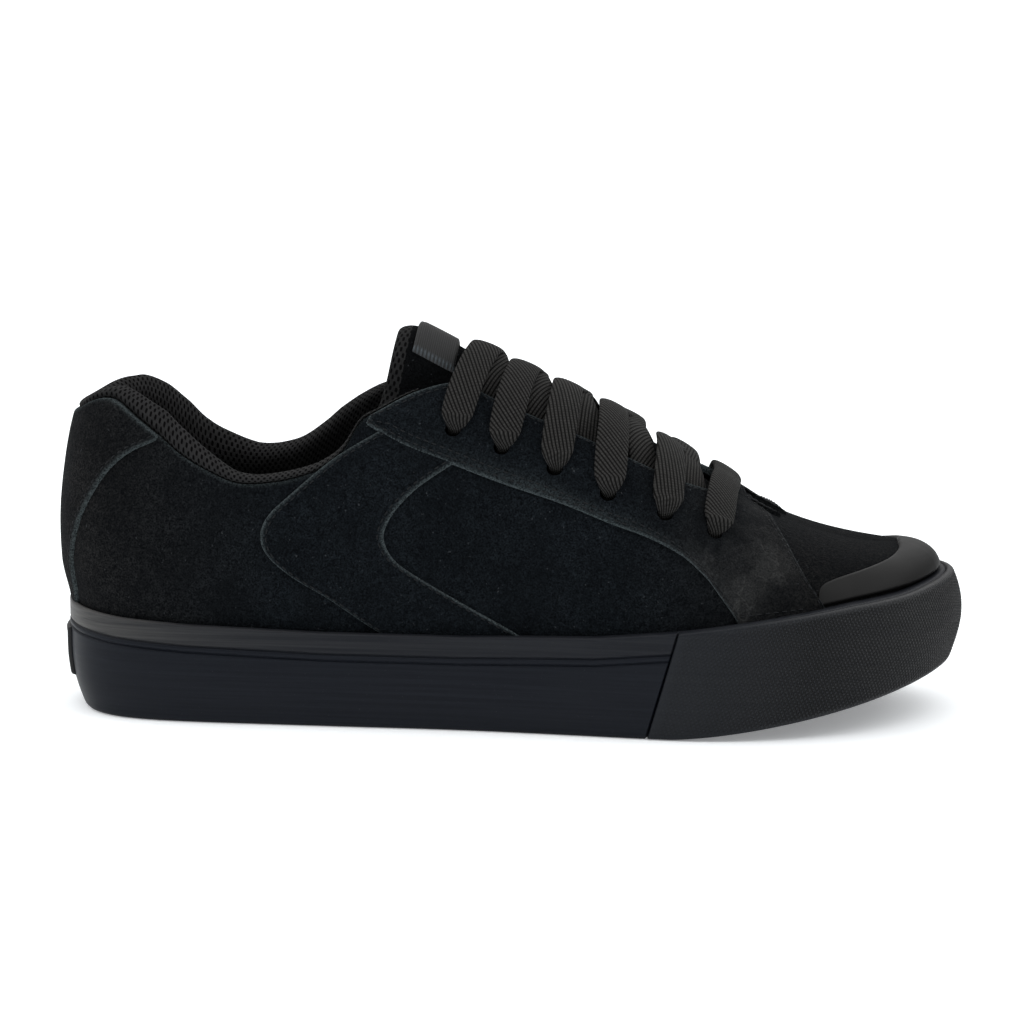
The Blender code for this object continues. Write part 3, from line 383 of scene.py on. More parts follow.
def up_of_height(turn, height):
    """How far up the section a height near the sole lies, between the two rungs of a ladder that hold it."""
    turn = np.asarray(turn, float)
    height = np.broadcast_to(height, turn.shape)
    ladder = np.linspace(0.0, 0.6, 81)
    z = last_point(turn[:, None], ladder[None])[..., 2]
    first = np.clip(np.argmax(z > height[:, None], 1), 1, 80)
    row = np.arange(len(turn))
    below = z[row, first - 1]
    share = np.clip((height - below) / (z[row, first] - below), 0, 1)
    return ladder[first - 1] + share * ladder[1]


def grid_faces(count, rows, ring=False, loop=False, first=0):
    """Four-cornered faces of a grid of points; ring closes its first way and loop its second."""
    index = np.arange(count * rows).reshape(count, rows) + first
    ahead = index[np.arange(count + 1) % count] if ring else index
    ahead = ahead[:, np.arange(rows + 1) % rows] if loop else ahead
    return np.stack([ahead[:-1, :-1], ahead[1:, :-1], ahead[1:, 1:], ahead[:-1, 1:]], -1).reshape(-1, 4)


def make_piece(name, points, faces, materials, uv=None, part=None, **marks):
    """Mesh object at the origin. UV and marks are given per point, part is the material per face."""
    points = np.asarray(points, float).reshape(-1, 3)
    mesh = bpy.data.meshes.new(name)
    mesh.from_pydata(points.tolist(), [], faces.tolist())
    corner = np.empty(len(mesh.loops), np.int32)
    mesh.loops.foreach_get("vertex_index", corner)
    if uv is not None:
        layer = mesh.uv_layers.new(name="UVMap")
        layer.data.foreach_set("uv", np.asarray(uv, np.float32).reshape(-1, 2)[corner].ravel())
    for label, values in marks.items():
        mark = mesh.attributes.new(label, 'FLOAT', 'POINT')
        mark.data.foreach_set("value", np.asarray(values, np.float32).ravel())
    for material in materials:
        mesh.materials.append(material)
    if part is not None:
        mesh.polygons.foreach_set("material_index", np.asarray(part, np.int32))
    mesh.shade_smooth()
    piece = bpy.data.objects.new(name, mesh)
    bpy.context.scene.collection.objects.link(piece)
    return piece


def closed_between(outer, inner, ring=False):
    """Points and faces of the thin solid between two equal grids, with its borders joined."""
    count, rows = outer.shape[:2]
    total = count * rows
    index = np.arange(total).reshape(count, rows)
    faces = [grid_faces(count, rows, ring), grid_faces(count, rows, ring, first=total)[:, ::-1]]
    walk = index[np.arange(count + 1) % count] if ring else index
    for border, flip in ((walk[:, 0], 1), (walk[:, -1], -1)):
        side = np.stack([border[:-1], border[:-1] + total, border[1:] + total, border[1:]], -1)
        faces.append(side[:, ::flip])
    if not ring:
        for border, flip in ((index[0], -1), (index[-1], 1)):
            side = np.stack([border[:-1], border[:-1] + total, border[1:] + total, border[1:]], -1)
            faces.append(side[:, ::flip])
    return np.concatenate([outer.reshape(-1, 3), inner.reshape(-1, 3)]), np.concatenate(faces)


def end_caps(count, corners, flips=(1, 1)):
    """Faces that close a grid of loops at its first and its last loop; a flip of -1 turns them round."""
    caps = []
    for row, flip in zip((0, count - 1), flips):
        ring = row * corners + np.arange(corners)
        top = ring[:corners // 2]
        under = ring[corners // 2:][::-1]
        caps.append(np.stack([top[:-1], top[1:], under[1:], under[:-1]], 1)[:, ::flip])
    return np.concatenate(caps)


def finish_material(name, roughness, specular, **constants):
    """Material with one Principled shader; values that are the same all over are set on its own sockets."""
    material = bpy.data.materials.new(name)
    material.use_nodes = True
    shader = material.node_tree.nodes["Principled BSDF"]
    shader.inputs["Roughness"].default_value = roughness
    shader.inputs["Specular IOR Level"].default_value = specular
    for socket, value in constants.items():
        shader.inputs[socket.replace("_", " ")].default_value = value
    return material, material.node_tree, shader


def node(tree, kind, settings=None, **inputs):
    """New shader node with its settings and inputs; an input is a value or another node's output."""
    made = tree.nodes.new(kind)
    for key, value in (settings or {}).items():
        setattr(made, key, value)
    for key, value in inputs.items():
        socket = made.inputs[int(key[1:])] if key[0] == "i" and key[1:].isdigit() else made.inputs[key]
        if isinstance(value, bpy.types.NodeSocket):
            tree.links.new(value, socket)
        else:
            socket.default_value = value
    return made


def make_group(name, inputs, outputs):
    """Empty shader node group with the named sockets, and its two end nodes."""
    group = bpy.data.node_groups.new(name, 'ShaderNodeTree')
    for label, kind in inputs:
        group.interface.new_socket(name=label, in_out='INPUT', socket_type=kind)
    for label, kind in outputs:
        group.interface.new_socket(name=label, in_out='OUTPUT', socket_type=kind)
    return group, group.nodes.new('NodeGroupInput'), group.nodes.new('NodeGroupOutput')


def mixed(tree, factor, first, second):
    """Colour between two colours by a factor."""
    mix = node(tree, 'ShaderNodeMix', {"data_type": 'RGBA'})
    for slot, value in ((0, factor), (6, first), (7, second)):
        if isinstance(value, bpy.types.NodeSocket):
            tree.links.new(value, mix.inputs[slot])
        else:
            mix.inputs[slot].default_value = value
    return mix.outputs[2]


def ranged(tree, value, low, high, to_low=0.0, to_high=1.0):
    """Value carried in a straight line from one range to another and held there."""
    return node(tree, 'ShaderNodeMapRange', i0=value, i1=low, i2=high, i3=to_low, i4=to_high).outputs[0]


def combined(tree, operation, first, second=0.0, third=0.0):
    """Result of one calculation with up to three values."""
    return node(tree, 'ShaderNodeMath', {"operation": operation}, i0=first, i1=second, i2=third).outputs[0]


def product(tree, first, *others):
    """Product of the values from left to right."""
    for other in others:
        first = combined(tree, 'MULTIPLY', first, other)
    return first


def wave(tree, distance, length, operation='COSINE'):
    """Wave from -1 to 1 over a distance in metres that repeats after each length."""
    return combined(tree, operation, product(tree, distance, 2 * math.pi / length))


def noise(tree, scale, detail, roughness=0.5, output=0):
    """Noise over the place in the shoe; output 0 is its value and output 1 its colour."""
    place = node(tree, 'ShaderNodeTexCoord').outputs["Object"]
    made = node(tree, 'ShaderNodeTexNoise', Vector=place, Scale=scale, Detail=detail, Roughness=roughness)
    return made.outputs[output]


def read_mark(tree, name):
    """Value of a mark that the mesh carries."""
    return node(tree, 'ShaderNodeAttribute', {"attribute_name": name}).outputs["Fac"]


def read_uv(tree):
    """The UV's two ways, in metres."""
    flat = node(tree, 'ShaderNodeUVMap', {"uv_map": "UVMap"}).outputs[0]
    return node(tree, 'ShaderNodeSeparateXYZ', Vector=flat).outputs


def shaded(colour, factor):
    """Colour made lighter or darker by a factor."""
    return tuple(value * factor for value in colour[:3]) + (1,)


def add_bump(tree, shader, height, strength, distance):
    """Bump from a height on the shader's normal."""
    bump = node(tree, 'ShaderNodeBump', Strength=strength, Distance=distance, Height=height)
    tree.links.new(bump.outputs["Normal"], shader.inputs["Normal"])


def add_finish(tree, shader, group, strength, distance, inputs):
    """Shared effect on the shader: its colour, its roughness and its height as a bump."""
    finish = node(tree, 'ShaderNodeGroup', {"node_tree": group}, **inputs)
    tree.links.new(finish.outputs["Color"], shader.inputs["Base Color"])
    tree.links.new(finish.outputs["Roughness"], shader.inputs["Roughness"])
    add_bump(tree, shader, finish.outputs["Height"], strength, distance)


# Brushed nap: light hair tips over a dark ground, patches where the nap leans, cut edges rubbed pale, and
# worn places with a net of fine pale creases. The suede is bluer in the quarters than at heel and toe, and
# at the heel its hair tips are also painted lighter: painted light from the heel side.
# Heel hair: a neutral tone, and painted lighter than the quarters as painted light from the heel side
HEEL_HAIR_PAINTED_LIGHTER = (0.0255, 0.0250, 0.0246, 1)
TOE_HAIR = (0.0165, 0.0161, 0.0157, 1)
SPECK_COLOUR = (0.12, 0.13, 0.14, 1)
WORN_COLOUR = (0.058, 0.058, 0.057, 1)
CUT_COLOUR = (0.075, 0.092, 0.096, 1)
CREASE_CELLS = 165.0
CREASE_BEND = (0.009, 0.009, 0.009)
nap, nap_in, nap_out = make_group(
    "suede_nap",
    [("Ground", 'NodeSocketColor'), ("Hair", 'NodeSocketColor'), ("Cut Edge", 'NodeSocketColor'),
     ("Rub", 'NodeSocketFloat')],
    [("Color", 'NodeSocketColor'), ("Roughness", 'NodeSocketFloat'), ("Height", 'NodeSocketFloat')],
)
place = node(nap, 'ShaderNodeTexCoord').outputs["Object"]
hairs = noise(nap, 1800.0, 2.5, 0.65)
lean = noise(nap, 48.0, 5.0, 0.62)
tuft = noise(nap, 560.0, 2.0)
speck = noise(nap, 905.0, 1.0)
hair_share = product(nap, ranged(nap, hairs, 0.36, 0.68), ranged(nap, tuft, 0.34, 0.66, 0.55, 1.0),
                     ranged(nap, lean, 0.38, 0.62, 0.55, 1.0))
along_shoe = node(nap, 'ShaderNodeSeparateXYZ', Vector=place).outputs[0]
# Toward the heel the hair tips turn to the painted-lighter heel colour
tip_colour = mixed(nap, ranged(nap, along_shoe, 0.037, -0.033), nap_in.outputs["Hair"], HEEL_HAIR_PAINTED_LIGHTER)
tip_colour = mixed(nap, ranged(nap, along_shoe, 0.147, 0.210), tip_colour, TOE_HAIR)
body_colour = mixed(nap, hair_share, nap_in.outputs["Ground"], tip_colour)
body_colour = mixed(nap, ranged(nap, speck, 0.72, 0.82, 0.0, 0.22), body_colour, SPECK_COLOUR)
rubbed = product(nap, read_mark(nap, "edge"), ranged(nap, hairs, 0.36, 0.64, 0.12, 1.0),
                 nap_in.outputs["Rub"])
worn = read_mark(nap, "worn")
bent = node(nap, 'ShaderNodeVectorMath', {"operation": 'MULTIPLY_ADD'},
            i0=noise(nap, 70.0, 2.0, output=1), i1=CREASE_BEND, i2=place).outputs[0]
turned = node(nap, 'ShaderNodeMapping', Vector=bent, Rotation=(0.0, 0.6, 0.0),
              Scale=(1.0, 1.0, 0.62)).outputs[0]
folds = node(nap, 'ShaderNodeTexVoronoi', {"feature": 'DISTANCE_TO_EDGE'},
             Vector=turned, Scale=CREASE_CELLS).outputs["Distance"]
fold_lines = product(nap, ranged(nap, folds, 0.0, 0.09, 0.55, 0.0), ranged(nap, lean, 0.44, 0.62, 0.05, 1.0))
pale = combined(nap, 'MAXIMUM', fold_lines, ranged(nap, lean, 0.42, 0.66, 0.03, 0.34))
pale = product(nap, pale, worn, ranged(nap, hairs, 0.30, 0.62, 0.45, 1.0))
shown = mixed(nap, pale, body_colour, WORN_COLOUR)
nap.links.new(mixed(nap, rubbed, shown, nap_in.outputs["Cut Edge"]), nap_out.inputs["Color"])
nap.links.new(ranged(nap, lean, 0.3, 0.7, 0.88, 1.0), nap_out.inputs["Roughness"])
height = combined(nap, 'MULTIPLY_ADD', hairs, 0.6, tuft)
height = combined(nap, 'MULTIPLY_ADD', product(nap, fold_lines, worn), -0.9, height)
nap.links.new(height, nap_out.inputs["Height"])


def suede(name, ground=(0.0016, 0.0020, 0.0026, 1), hair=(0.0138, 0.0178, 0.0215, 1), rub=1.0):
    """Black suede: matte, with the nap's bump and a trace of sheen from its fibres."""
    material, tree, shader = finish_material(
        name, 0.95, 0.02, Sheen_Weight=0.012, Sheen_Roughness=0.45, Sheen_Tint=(0.8, 0.9, 1.0, 1))
    inputs = {"Ground": ground, "Hair": hair, "Cut Edge": CUT_COLOUR, "Rub": rub}
    add_finish(tree, shader, nap, 0.9, 0.0005, inputs)
    return material


def lining_cloth(name, colour):
    """Plain thin textile on the inside of the wall: fine flecks read from the place in the shoe."""
    material, tree, shader = finish_material(name, 0.9, 0.05, Base_Color=colour)
    weave = noise(tree, 900.0, 2.0)
    tree.links.new(mixed(tree, weave, colour, shaded(colour, 1.9)), shader.inputs["Base Color"])
    add_bump(tree, shader, weave, 0.5, 0.0003)
    return material


throat_line = np.linspace(0.3, 0.9, 1201)
ridge = last_point(throat_line, np.ones(1201))
rim_over_ridge = np.interp(along_of(ridge[:, 0]), RIM_LINE[:, 0], RIM_LINE[:, 1]) * INSTEP_HEIGHT
throat_end = throat_line[np.argmax(ridge[:, 2] < rim_over_ridge)]
wall_stations = np.linspace(0, 1, AROUND_STEPS + 1)
wall_stations[np.argmin(np.abs(wall_stations - throat_end))] = throat_end
wall_turns = np.concatenate([wall_stations, 2 - wall_stations[-2:0:-1]])
wall_reach = np.where(station_of(wall_turns) >= throat_end - 1e-9, 1.0, rim_up(wall_turns))
climb = np.linspace(0, 1, UP_STEPS + 1)[None] * wall_reach[:, None]
wall_grid = np.broadcast_to(wall_turns[:, None], climb.shape)
from_edge = np.linalg.norm(np.diff(skin(wall_grid, climb, np.zeros(climb.shape)), axis=1), axis=2)
from_edge = np.concatenate([np.cumsum(from_edge[:, ::-1], 1)[:, ::-1], np.zeros((len(wall_turns), 1))], 1)
open_edge = (wall_reach < 1.0)[:, None]
turned_in = np.where(open_edge, 0.0007 * np.exp(-(from_edge / 0.0008) ** 2), 0.0)
wall_outer = skin(wall_grid, climb, -turned_in)
wall_inner = skin(wall_grid, climb, turned_in * 0.8 - UPPER_WALL)
wall_inner[:, 0, 2] = wall_outer[:, 0, 2]
points, faces = closed_between(wall_outer, wall_inner, ring=True)
count = len(wall_turns)
closed_top = wall_reach >= 1.0
shut = closed_top & np.roll(closed_top, -1)
rim_faces = len(faces) - count + np.arange(count)
faces = np.delete(faces, rim_faces[shut], 0)
inside = np.zeros(len(faces), np.int32)
inside[count * UP_STEPS:2 * count * UP_STEPS] = 1
rub_mark = np.where(open_edge, np.exp(-(from_edge / 0.0007) ** 2), 0.0)
upper_wall = make_piece("upper_wall", points, faces, [
    suede("suede_quarter", rub=0.5),
    lining_cloth("upper_backing", (0.005, 0.005, 0.0055, 1)),
], edge=np.concatenate([rub_mark, rub_mark]), part=inside)


def weld(piece, distance=0.000002):
    """Joins points that lie on each other, as along the vamp's ridge."""
    work = bmesh.new()
    work.from_mesh(piece.data)
    bmesh.ops.remove_doubles(work, verts=work.verts, dist=distance)
    work.to_mesh(piece.data)
    work.free()


weld(upper_wall)
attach(upper_wall, "root")
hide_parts("upper")

# Eyestay
# The lace facing: one piece of suede laid over the quarters from collar to collar round the front of the
# throat, with a leg down to the sole on each side. Its cut edge is rubbed pale; two rows of stitches hold it.
OVERLAY_THICK = 0.0012
OVERLAY_GAP = 0.0001
SUNK = -0.0005
EDGE_ROUND = 0.0010
# Strip of rubbed nap beside the edge: its width, and its middle and reach along the shoe
RUBBED_WIDTH = 0.0052
RUBBED_MIDDLE = 0.128
RUBBED_REACH = 0.034
# Where the edge near the ridge starts to stay dark: up the section and along the shoe
DARK_FROM_UP = 0.70
DARK_FROM_ALONG = 0.165
# How far an overlay's foot runs down behind the cup's rim
FOOT_DEPTH = 0.0028
EYELET_DIAMETER = 0.0054
# Middle of the worn place on the facing's leg, in side view, and its reach
WORN_PLACE = (0.186, 0.053, 0.021)
EYESTAY_LOWER = np.array([
    (0.345, 0.846), (0.386, 0.789), (0.437, 0.743), (0.495, 0.691), (0.560, 0.640), (0.614, 0.589),
    (0.657, 0.551), (0.690, 0.508), (0.717, 0.450), (0.733, 0.398), (0.749, 0.340), (0.757, 0.300),
])
EYESTAY_FRONT = np.array([
    (0.851, 0.325), (0.842, 0.368), (0.835, 0.390), (0.818, 0.455), (0.802, 0.518), (0.780, 0.588),
])
EYELETS = np.array([
    (0.442, 0.832), (0.495, 0.786), (0.553, 0.732), (0.611, 0.667), (0.672, 0.613), (0.725, 0.559),
])


def on_form(rows, lateral=True):
    """Turn and up of points given in side view as along and height, by a search and three Newton steps."""
    rows = np.asarray(rows, float)
    goal = np.stack([rows[:, 0] * LENGTH - HEEL_TO_ORIGIN, rows[:, 1] * INSTEP_HEIGHT], 1)
    turns = np.linspace(0.0, 1.0, 241)
    ups = np.linspace(0.02, 0.98, 121)
    if not lateral:
        turns = 2 - turns
    field = last_point(turns[:, None], ups[None])[..., [0, 2]].reshape(-1, 2)
    nearest = np.argmin(((goal[:, None] - field[None]) ** 2).sum(-1), 1)
    turn = turns[nearest // 121]
    up = ups[nearest % 121]
    for _ in range(3):
        here = last_point(turn, up)[:, [0, 2]]
        by_turn = (last_point(turn + 1e-4, up)[:, [0, 2]] - here) / 1e-4
        by_up = (last_point(turn, up + 1e-4)[:, [0, 2]] - here) / 1e-4
        miss = goal - here
        det = by_turn[:, 0] * by_up[:, 1] - by_turn[:, 1] * by_up[:, 0]
        turn = turn + np.clip((miss[:, 0] * by_up[:, 1] - miss[:, 1] * by_up[:, 0]) / det, -0.02, 0.02)
        up = up + np.clip((by_turn[:, 0] * miss[:, 1] - by_turn[:, 1] * miss[:, 0]) / det, -0.02, 0.02)
    return np.stack([turn, up], 1)


def crowded(count):
    """Shares from 0 to 1 that crowd at both ends, where a cut edge rounds over."""
    t = np.linspace(0, 1, count)
    return t - 0.97 * np.sin(2 * np.pi * t) / (2 * np.pi)


def from_border(turn, up, sides):
    """Distance over the surface to the nearest free border of a grid; sides names the free borders."""
    here = last_point(turn, up)
    across = run_across(here)
    along = run_across(here.swapaxes(0, 1)).T
    measures = {"low": across, "high": across[:, -1:] - across, "start": along, "end": along[-1:] - along}
    return np.min([measures[side] for side in sides], 0)


def laid_panel(name, turn, up, thick, material, sides=("low", "high", "start", "end"), rounded=EDGE_ROUND,
               broad=0.0):
    """Cover laid on the upper: full thickness inside, rounding down into the face below at its free borders.

    Broad is the share of nap rubbed pale in a wider strip along the border, at the middle of the shoe.
    """
    border = from_border(turn, up, sides)
    outer = skin(turn, up, SUNK + (OVERLAY_GAP + thick - SUNK) * quarter_round(border / rounded))
    inner = skin(turn, up, np.full(turn.shape, SUNK - 0.0003))
    points, faces = closed_between(outer, inner)
    nothing = np.zeros(border.size)
    x = outer[..., 0]
    from_low = from_border(turn, up, ("low",))
    strip = np.exp(-(from_low / RUBBED_WIDTH) ** 2 - ((x - RUBBED_MIDDLE) / RUBBED_REACH) ** 2)
    on_ridge = np.clip((up - DARK_FROM_UP) / 0.15, 0, 1) * np.clip((x - DARK_FROM_ALONG) / 0.01, 0, 1)
    edge = np.maximum(np.exp(-(border / 0.0010) ** 2), broad * strip) * (1 - 0.93 * on_ridge)
    from_place = np.hypot(x - WORN_PLACE[0], (outer[..., 2] - WORN_PLACE[1]) * 0.8) / WORN_PLACE[2]
    worn = np.exp(-from_place ** 3)
    return make_piece(name, points, faces, [material], edge=np.concatenate([edge.ravel(), nothing]),
                      worn=np.concatenate([worn.ravel(), nothing]))


def above_rim(turn, up):
    """Keeps a grid's foot at a small depth behind the cup's rim."""
    flat = turn.ravel()
    low = up_of_height(flat, sidewall_top(section_foot(flat)[:, 0]) - FOOT_DEPTH)
    return np.maximum(up, low.reshape(up.shape))


def throat_front(first, count, lateral):
    """Turns and ups evenly spread along the throat's edge, from a station on the side to its front end."""
    stations = throat_end - (throat_end - first) * np.linspace(1, 0, 400) ** 3
    ups = rim_up(stations if lateral else 2 - stations)
    ups[-1] = 1.0
    line = last_point(stations if lateral else 2 - stations, ups)
    run = run_along(line)
    at = np.linspace(0, run[-1], count)
    return np.interp(at, run, stations), np.interp(at, run, ups)


ridge_samples = np.linspace(0.3, 0.9, 601)
ridge_line = section(ridge_samples)[:, 0]
ridge_halves = []
for lateral in (True, False):
    lower = on_form(resample(EYESTAY_LOWER, 92), lateral)
    front = on_form(resample(EYESTAY_FRONT, 34), lateral)
    lower_turn = station_of(lower[:, 0])
    front_turn = station_of(front[:, 0])
    foot_turn = np.linspace(lower_turn[-1], front_turn[0], 20)[1:-1]
    foot_up = np.linspace(lower[-1, 1], front[0, 1], 20)[1:-1]
    last_turn = np.interp(0.760, ridge_line, ridge_samples)
    bow = np.linspace(0, 1, 25)[1:]
    over_turn = front_turn[-1] + (last_turn - front_turn[-1]) * bow
    over_up = front[-1, 1] + (1 - front[-1, 1]) * bow
    outer_turn = np.concatenate([lower_turn, foot_turn, front_turn, over_turn])
    outer_up = np.concatenate([lower[:, 1], foot_up, front[:, 1], over_up])
    count = len(outer_turn)
    side_turn = np.interp(np.arange(110), [0, 91, 109], [lower_turn[0] + 0.004, 0.640, 0.6545])
    side_up = rim_up(side_turn if lateral else 2 - side_turn)
    front_edge = throat_front(0.655, count - 110, lateral)
    inner_turn = np.concatenate([side_turn, front_edge[0]])
    inner_up = np.concatenate([side_up, front_edge[1]])
    across = crowded(34)[None]
    turn = outer_turn[:, None] * (1 - across) + inner_turn[:, None] * across
    up = outer_up[:, None] * (1 - across) + inner_up[:, None] * across
    turn = turn if lateral else 2 - turn
    ridge_halves.append((turn, above_rim(turn, up)))
eyestay_turn = np.concatenate([ridge_halves[0][0], ridge_halves[1][0][-2::-1]])
eyestay_up = np.concatenate([ridge_halves[0][1], ridge_halves[1][1][-2::-1]])
eyestay = laid_panel("eyestay_facing", eyestay_turn, eyestay_up, OVERLAY_THICK, suede("suede_facing"),
                     broad=0.36)
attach(eyestay, "root")
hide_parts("eyestay")

# Eyelet holes
# Six plain holes on each side, punched square through the facing and the wall. There is no metal ring, so the
# cut suede shows.
HOLE_SIDES = 28
# How far the punch reaches out of the skin and in behind it
PUNCH_REACH = (0.006, -0.007)
spots = np.concatenate([on_form(EYELETS, True), on_form(EYELETS, False)])
hole_normal = last_normal(spots[:, 0], spots[:, 1])
hole_centre = last_point(spots[:, 0], spots[:, 1])
hole_side = unit(np.cross(hole_normal, [0.0, 0.0, 1.0]))
hole_other = np.cross(hole_normal, hole_side)
angle = np.arange(HOLE_SIDES) * 2 * np.pi / HOLE_SIDES
hole_circle = hole_side[:, None] * np.cos(angle)[:, None] + hole_other[:, None] * np.sin(angle)[:, None]
rods = np.stack([hole_centre[:, None] + hole_circle * EYELET_DIAMETER / 2 + hole_normal[:, None] * reach
                 for reach in PUNCH_REACH], 1)
rod_faces = []
for k in range(len(spots)):
    start = k * 2 * HOLE_SIDES
    ring = np.arange(HOLE_SIDES)
    after = (ring + 1) % HOLE_SIDES
    rod_faces.append((start + ring).tolist())
    rod_faces.append((start + HOLE_SIDES + ring[::-1]).tolist())
    rod_faces.extend(np.stack([start + ring, start + HOLE_SIDES + ring,
                               start + HOLE_SIDES + after, start + after], 1).tolist())
punch_mesh = bpy.data.meshes.new("eyelet_punch")
punch_mesh.from_pydata(rods.reshape(-1, 3).tolist(), [], rod_faces)
punch_mesh.materials.append(suede("suede_cut", ground=(0.010, 0.012, 0.014, 1)))


def turn_outward(mesh):
    """Gives a closed mesh's faces one sense, and turns them all round where its volume comes out below 0."""
    work = bmesh.new()
    work.from_mesh(mesh)
    bmesh.ops.recalc_face_normals(work, faces=work.faces)
    if work.calc_volume(signed=True) < 0:
        bmesh.ops.reverse_faces(work, faces=work.faces)
    work.to_mesh(mesh)
    work.free()


turn_outward(punch_mesh)
punch = bpy.data.objects.new("eyelet_punch", punch_mesh)
bpy.context.scene.collection.objects.link(punch)


def punched(piece):
    """Cuts the eyelet holes and keeps the result as the piece's own mesh."""
    cut = piece.modifiers.new("eyelets", 'BOOLEAN')
    cut.operation = 'DIFFERENCE'
    cut.solver = 'EXACT'
    cut.object = punch
    cut.use_self = True
    bpy.context.view_layer.update()
    result = bpy.data.meshes.new_from_object(piece.evaluated_get(bpy.context.evaluated_depsgraph_get()))
    piece.modifiers.clear()
    piece.data = result
    result.shade_smooth()
    result.set_sharp_from_angle(angle=math.radians(50))


turn_outward(eyestay.data)
turn_outward(upper_wall.data)
punched(eyestay)
punched(upper_wall)
bpy.data.objects.remove(punch)

# Side panels
# A raised band of suede on each quarter, cut to a rearward point, with its top under the eyestay and its foot
# under the sole's rim. Both long edges are rubbed pale.
PANEL_THICK = OVERLAY_THICK * 0.8
PANEL_REAR = np.array([
    (0.372, 0.840), (0.354, 0.816), (0.310, 0.748), (0.262, 0.645), (0.240, 0.590), (0.232, 0.535),
    (0.240, 0.480), (0.267, 0.422), (0.308, 0.362), (0.352, 0.285), (0.372, 0.255),
])
PANEL_FRONT = np.array([
    (0.452, 0.752), (0.434, 0.726), (0.403, 0.671), (0.380, 0.610), (0.369, 0.555), (0.370, 0.515),
    (0.382, 0.470), (0.409, 0.424), (0.456, 0.357), (0.508, 0.285), (0.528, 0.255),
])
panel_grids = {}
for name, lateral in (("side_panel_lateral", True), ("side_panel_medial", False)):
    rear = on_form(resample(PANEL_REAR, 110), lateral)
    front = on_form(resample(PANEL_FRONT, 110), lateral)
    across = crowded(40)[None]
    turn = rear[:, :1] * (1 - across) + front[:, :1] * across
    up = above_rim(turn, rear[:, 1:] * (1 - across) + front[:, 1:] * across)
    band = laid_panel(name.replace("side", "raised"), turn, up, PANEL_THICK, suede(name + "_suede", rub=0.9),
                      sides=("low", "high"))
    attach(band, "root")
    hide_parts(name)
    panel_grids[name] = (turn, up)

# Heel counter
# A suede cover round the back of the heel, wide under the collar and narrow at the sole. It is glued and
# stitched on, and stops a little short of the collar's edge.
COUNTER_SHORT = 0.0015
COUNTER_EDGE = np.array([
    (0.019, 0.300), (0.019, 0.362), (0.018, 0.464), (0.028, 0.560), (0.044, 0.641), (0.064, 0.711),
    (0.088, 0.761), (0.118, 0.795),
])
edge_line = on_form(resample(COUNTER_EDGE, 80))
edge_low = up_of_height(edge_line[:, 0], sidewall_top(section_foot(edge_line[:, 0])[:, 0]))
edge_share = np.clip((edge_line[:, 1] - edge_low) / (rim_up(edge_line[:, 0]) - edge_low), 0, 1)
counter_rows = crowded(56)
half_turn = np.interp(counter_rows, edge_share, edge_line[:, 0])
counter_turn = half_turn[None] * (2 * crowded(90) - 1)[:, None]
flat_turn = counter_turn.ravel()
low = up_of_height(flat_turn, sidewall_top(section_foot(flat_turn)[:, 0]) - COUNTER_SHORT)
low = low.reshape(counter_turn.shape)
rim_turns = np.linspace(flat_turn.min(), flat_turn.max(), 241)
high = np.interp(counter_turn, rim_turns, rim_up(rim_turns)) - COUNTER_SHORT
counter_up = low + (high - low) * counter_rows[None]
counter = laid_panel("heel_cover", counter_turn, counter_up, OVERLAY_THICK, suede("suede_heel", rub=0.75),
                     sides=("start", "end", "high"))
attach(counter, "root")
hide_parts("heel_counter")

# Stitching
# Black bonded thread in short lockstitches, sunk a little into the suede, beside every cut edge. Each row is
# sewn by machine at an even distance from its edge.
STITCH_ROWS = (0.0022, 0.0046)
PANEL_ROW = 0.0021
STITCH_LENGTH = 0.0021
STITCH_GAP = 0.0007
THREAD = 0.00022


def inside_line(turn, up, distance, from_high=False):
    """Turn and up of the line that runs at a distance inside a grid's low or high border."""
    if from_high:
        turn, up = turn[:, ::-1], up[:, ::-1]
    across = run_across(last_point(turn, up))
    row = np.arange(len(turn))
    wanted = distance * np.clip(across[:, -1] / 0.012, 0.3, 1)
    first = np.clip(np.argmax(across > wanted[:, None], 1), 1, across.shape[1] - 1)
    before = across[row, first - 1]
    share = np.clip((wanted - before) / (across[row, first] - before + 1e-9), 0, 1)
    return np.stack([way[row, first - 1] * (1 - share) + way[row, first] * share for way in (turn, up)], 1)


def stitch_row(line, out):
    """Points and faces of a row of stitches: each is a short bent rod of six sides that dips at both ends."""
    path = skin(line[:, 0], line[:, 1], np.full(len(line), out))
    run = run_along(path)
    count = int(run[-1] / (STITCH_LENGTH + STITCH_GAP))
    starts = (np.arange(count) + 0.2) * (STITCH_LENGTH + STITCH_GAP)
    share = np.linspace(0, 1, 5)
    at = starts[:, None] + share[None] * STITCH_LENGTH
    centre = np.stack([np.interp(at, run, path[:, k]) for k in range(3)], -1)
    shown = centre[:, 2, 2] > sidewall_top(centre[:, 2, 0]) + 0.0010
    at = at[shown]
    centre = centre[shown]
    count = len(at)
    turn = np.interp(at, run, line[:, 0])
    up = np.interp(at, run, line[:, 1])
    normal = last_normal(turn, up)
    beside = np.cross(normal, unit(centre[:, -1:] - centre[:, :1]))
    centre = centre + normal * (THREAD * (np.sin(np.pi * share) * 1.5 - 1.0))[None, :, None]
    angle = np.arange(6) * np.pi / 3
    thick = THREAD * np.array([0.55, 0.95, 1.0, 0.95, 0.55])[None, :, None, None]
    circle = beside[:, :, None] * np.cos(angle)[:, None] + normal[:, :, None] * np.sin(angle)[:, None]
    loops = centre[:, :, None] + thick * circle
    ends = [[0, 1, 2, 3], [0, 3, 4, 5], [27, 26, 25, 24], [29, 28, 27, 24]]
    one = np.concatenate([grid_faces(5, 6, loop=True), ends])
    faces = (one[None] + (np.arange(count) * 30)[:, None, None]).reshape(-1, 4)
    return loops.reshape(-1, 3), faces


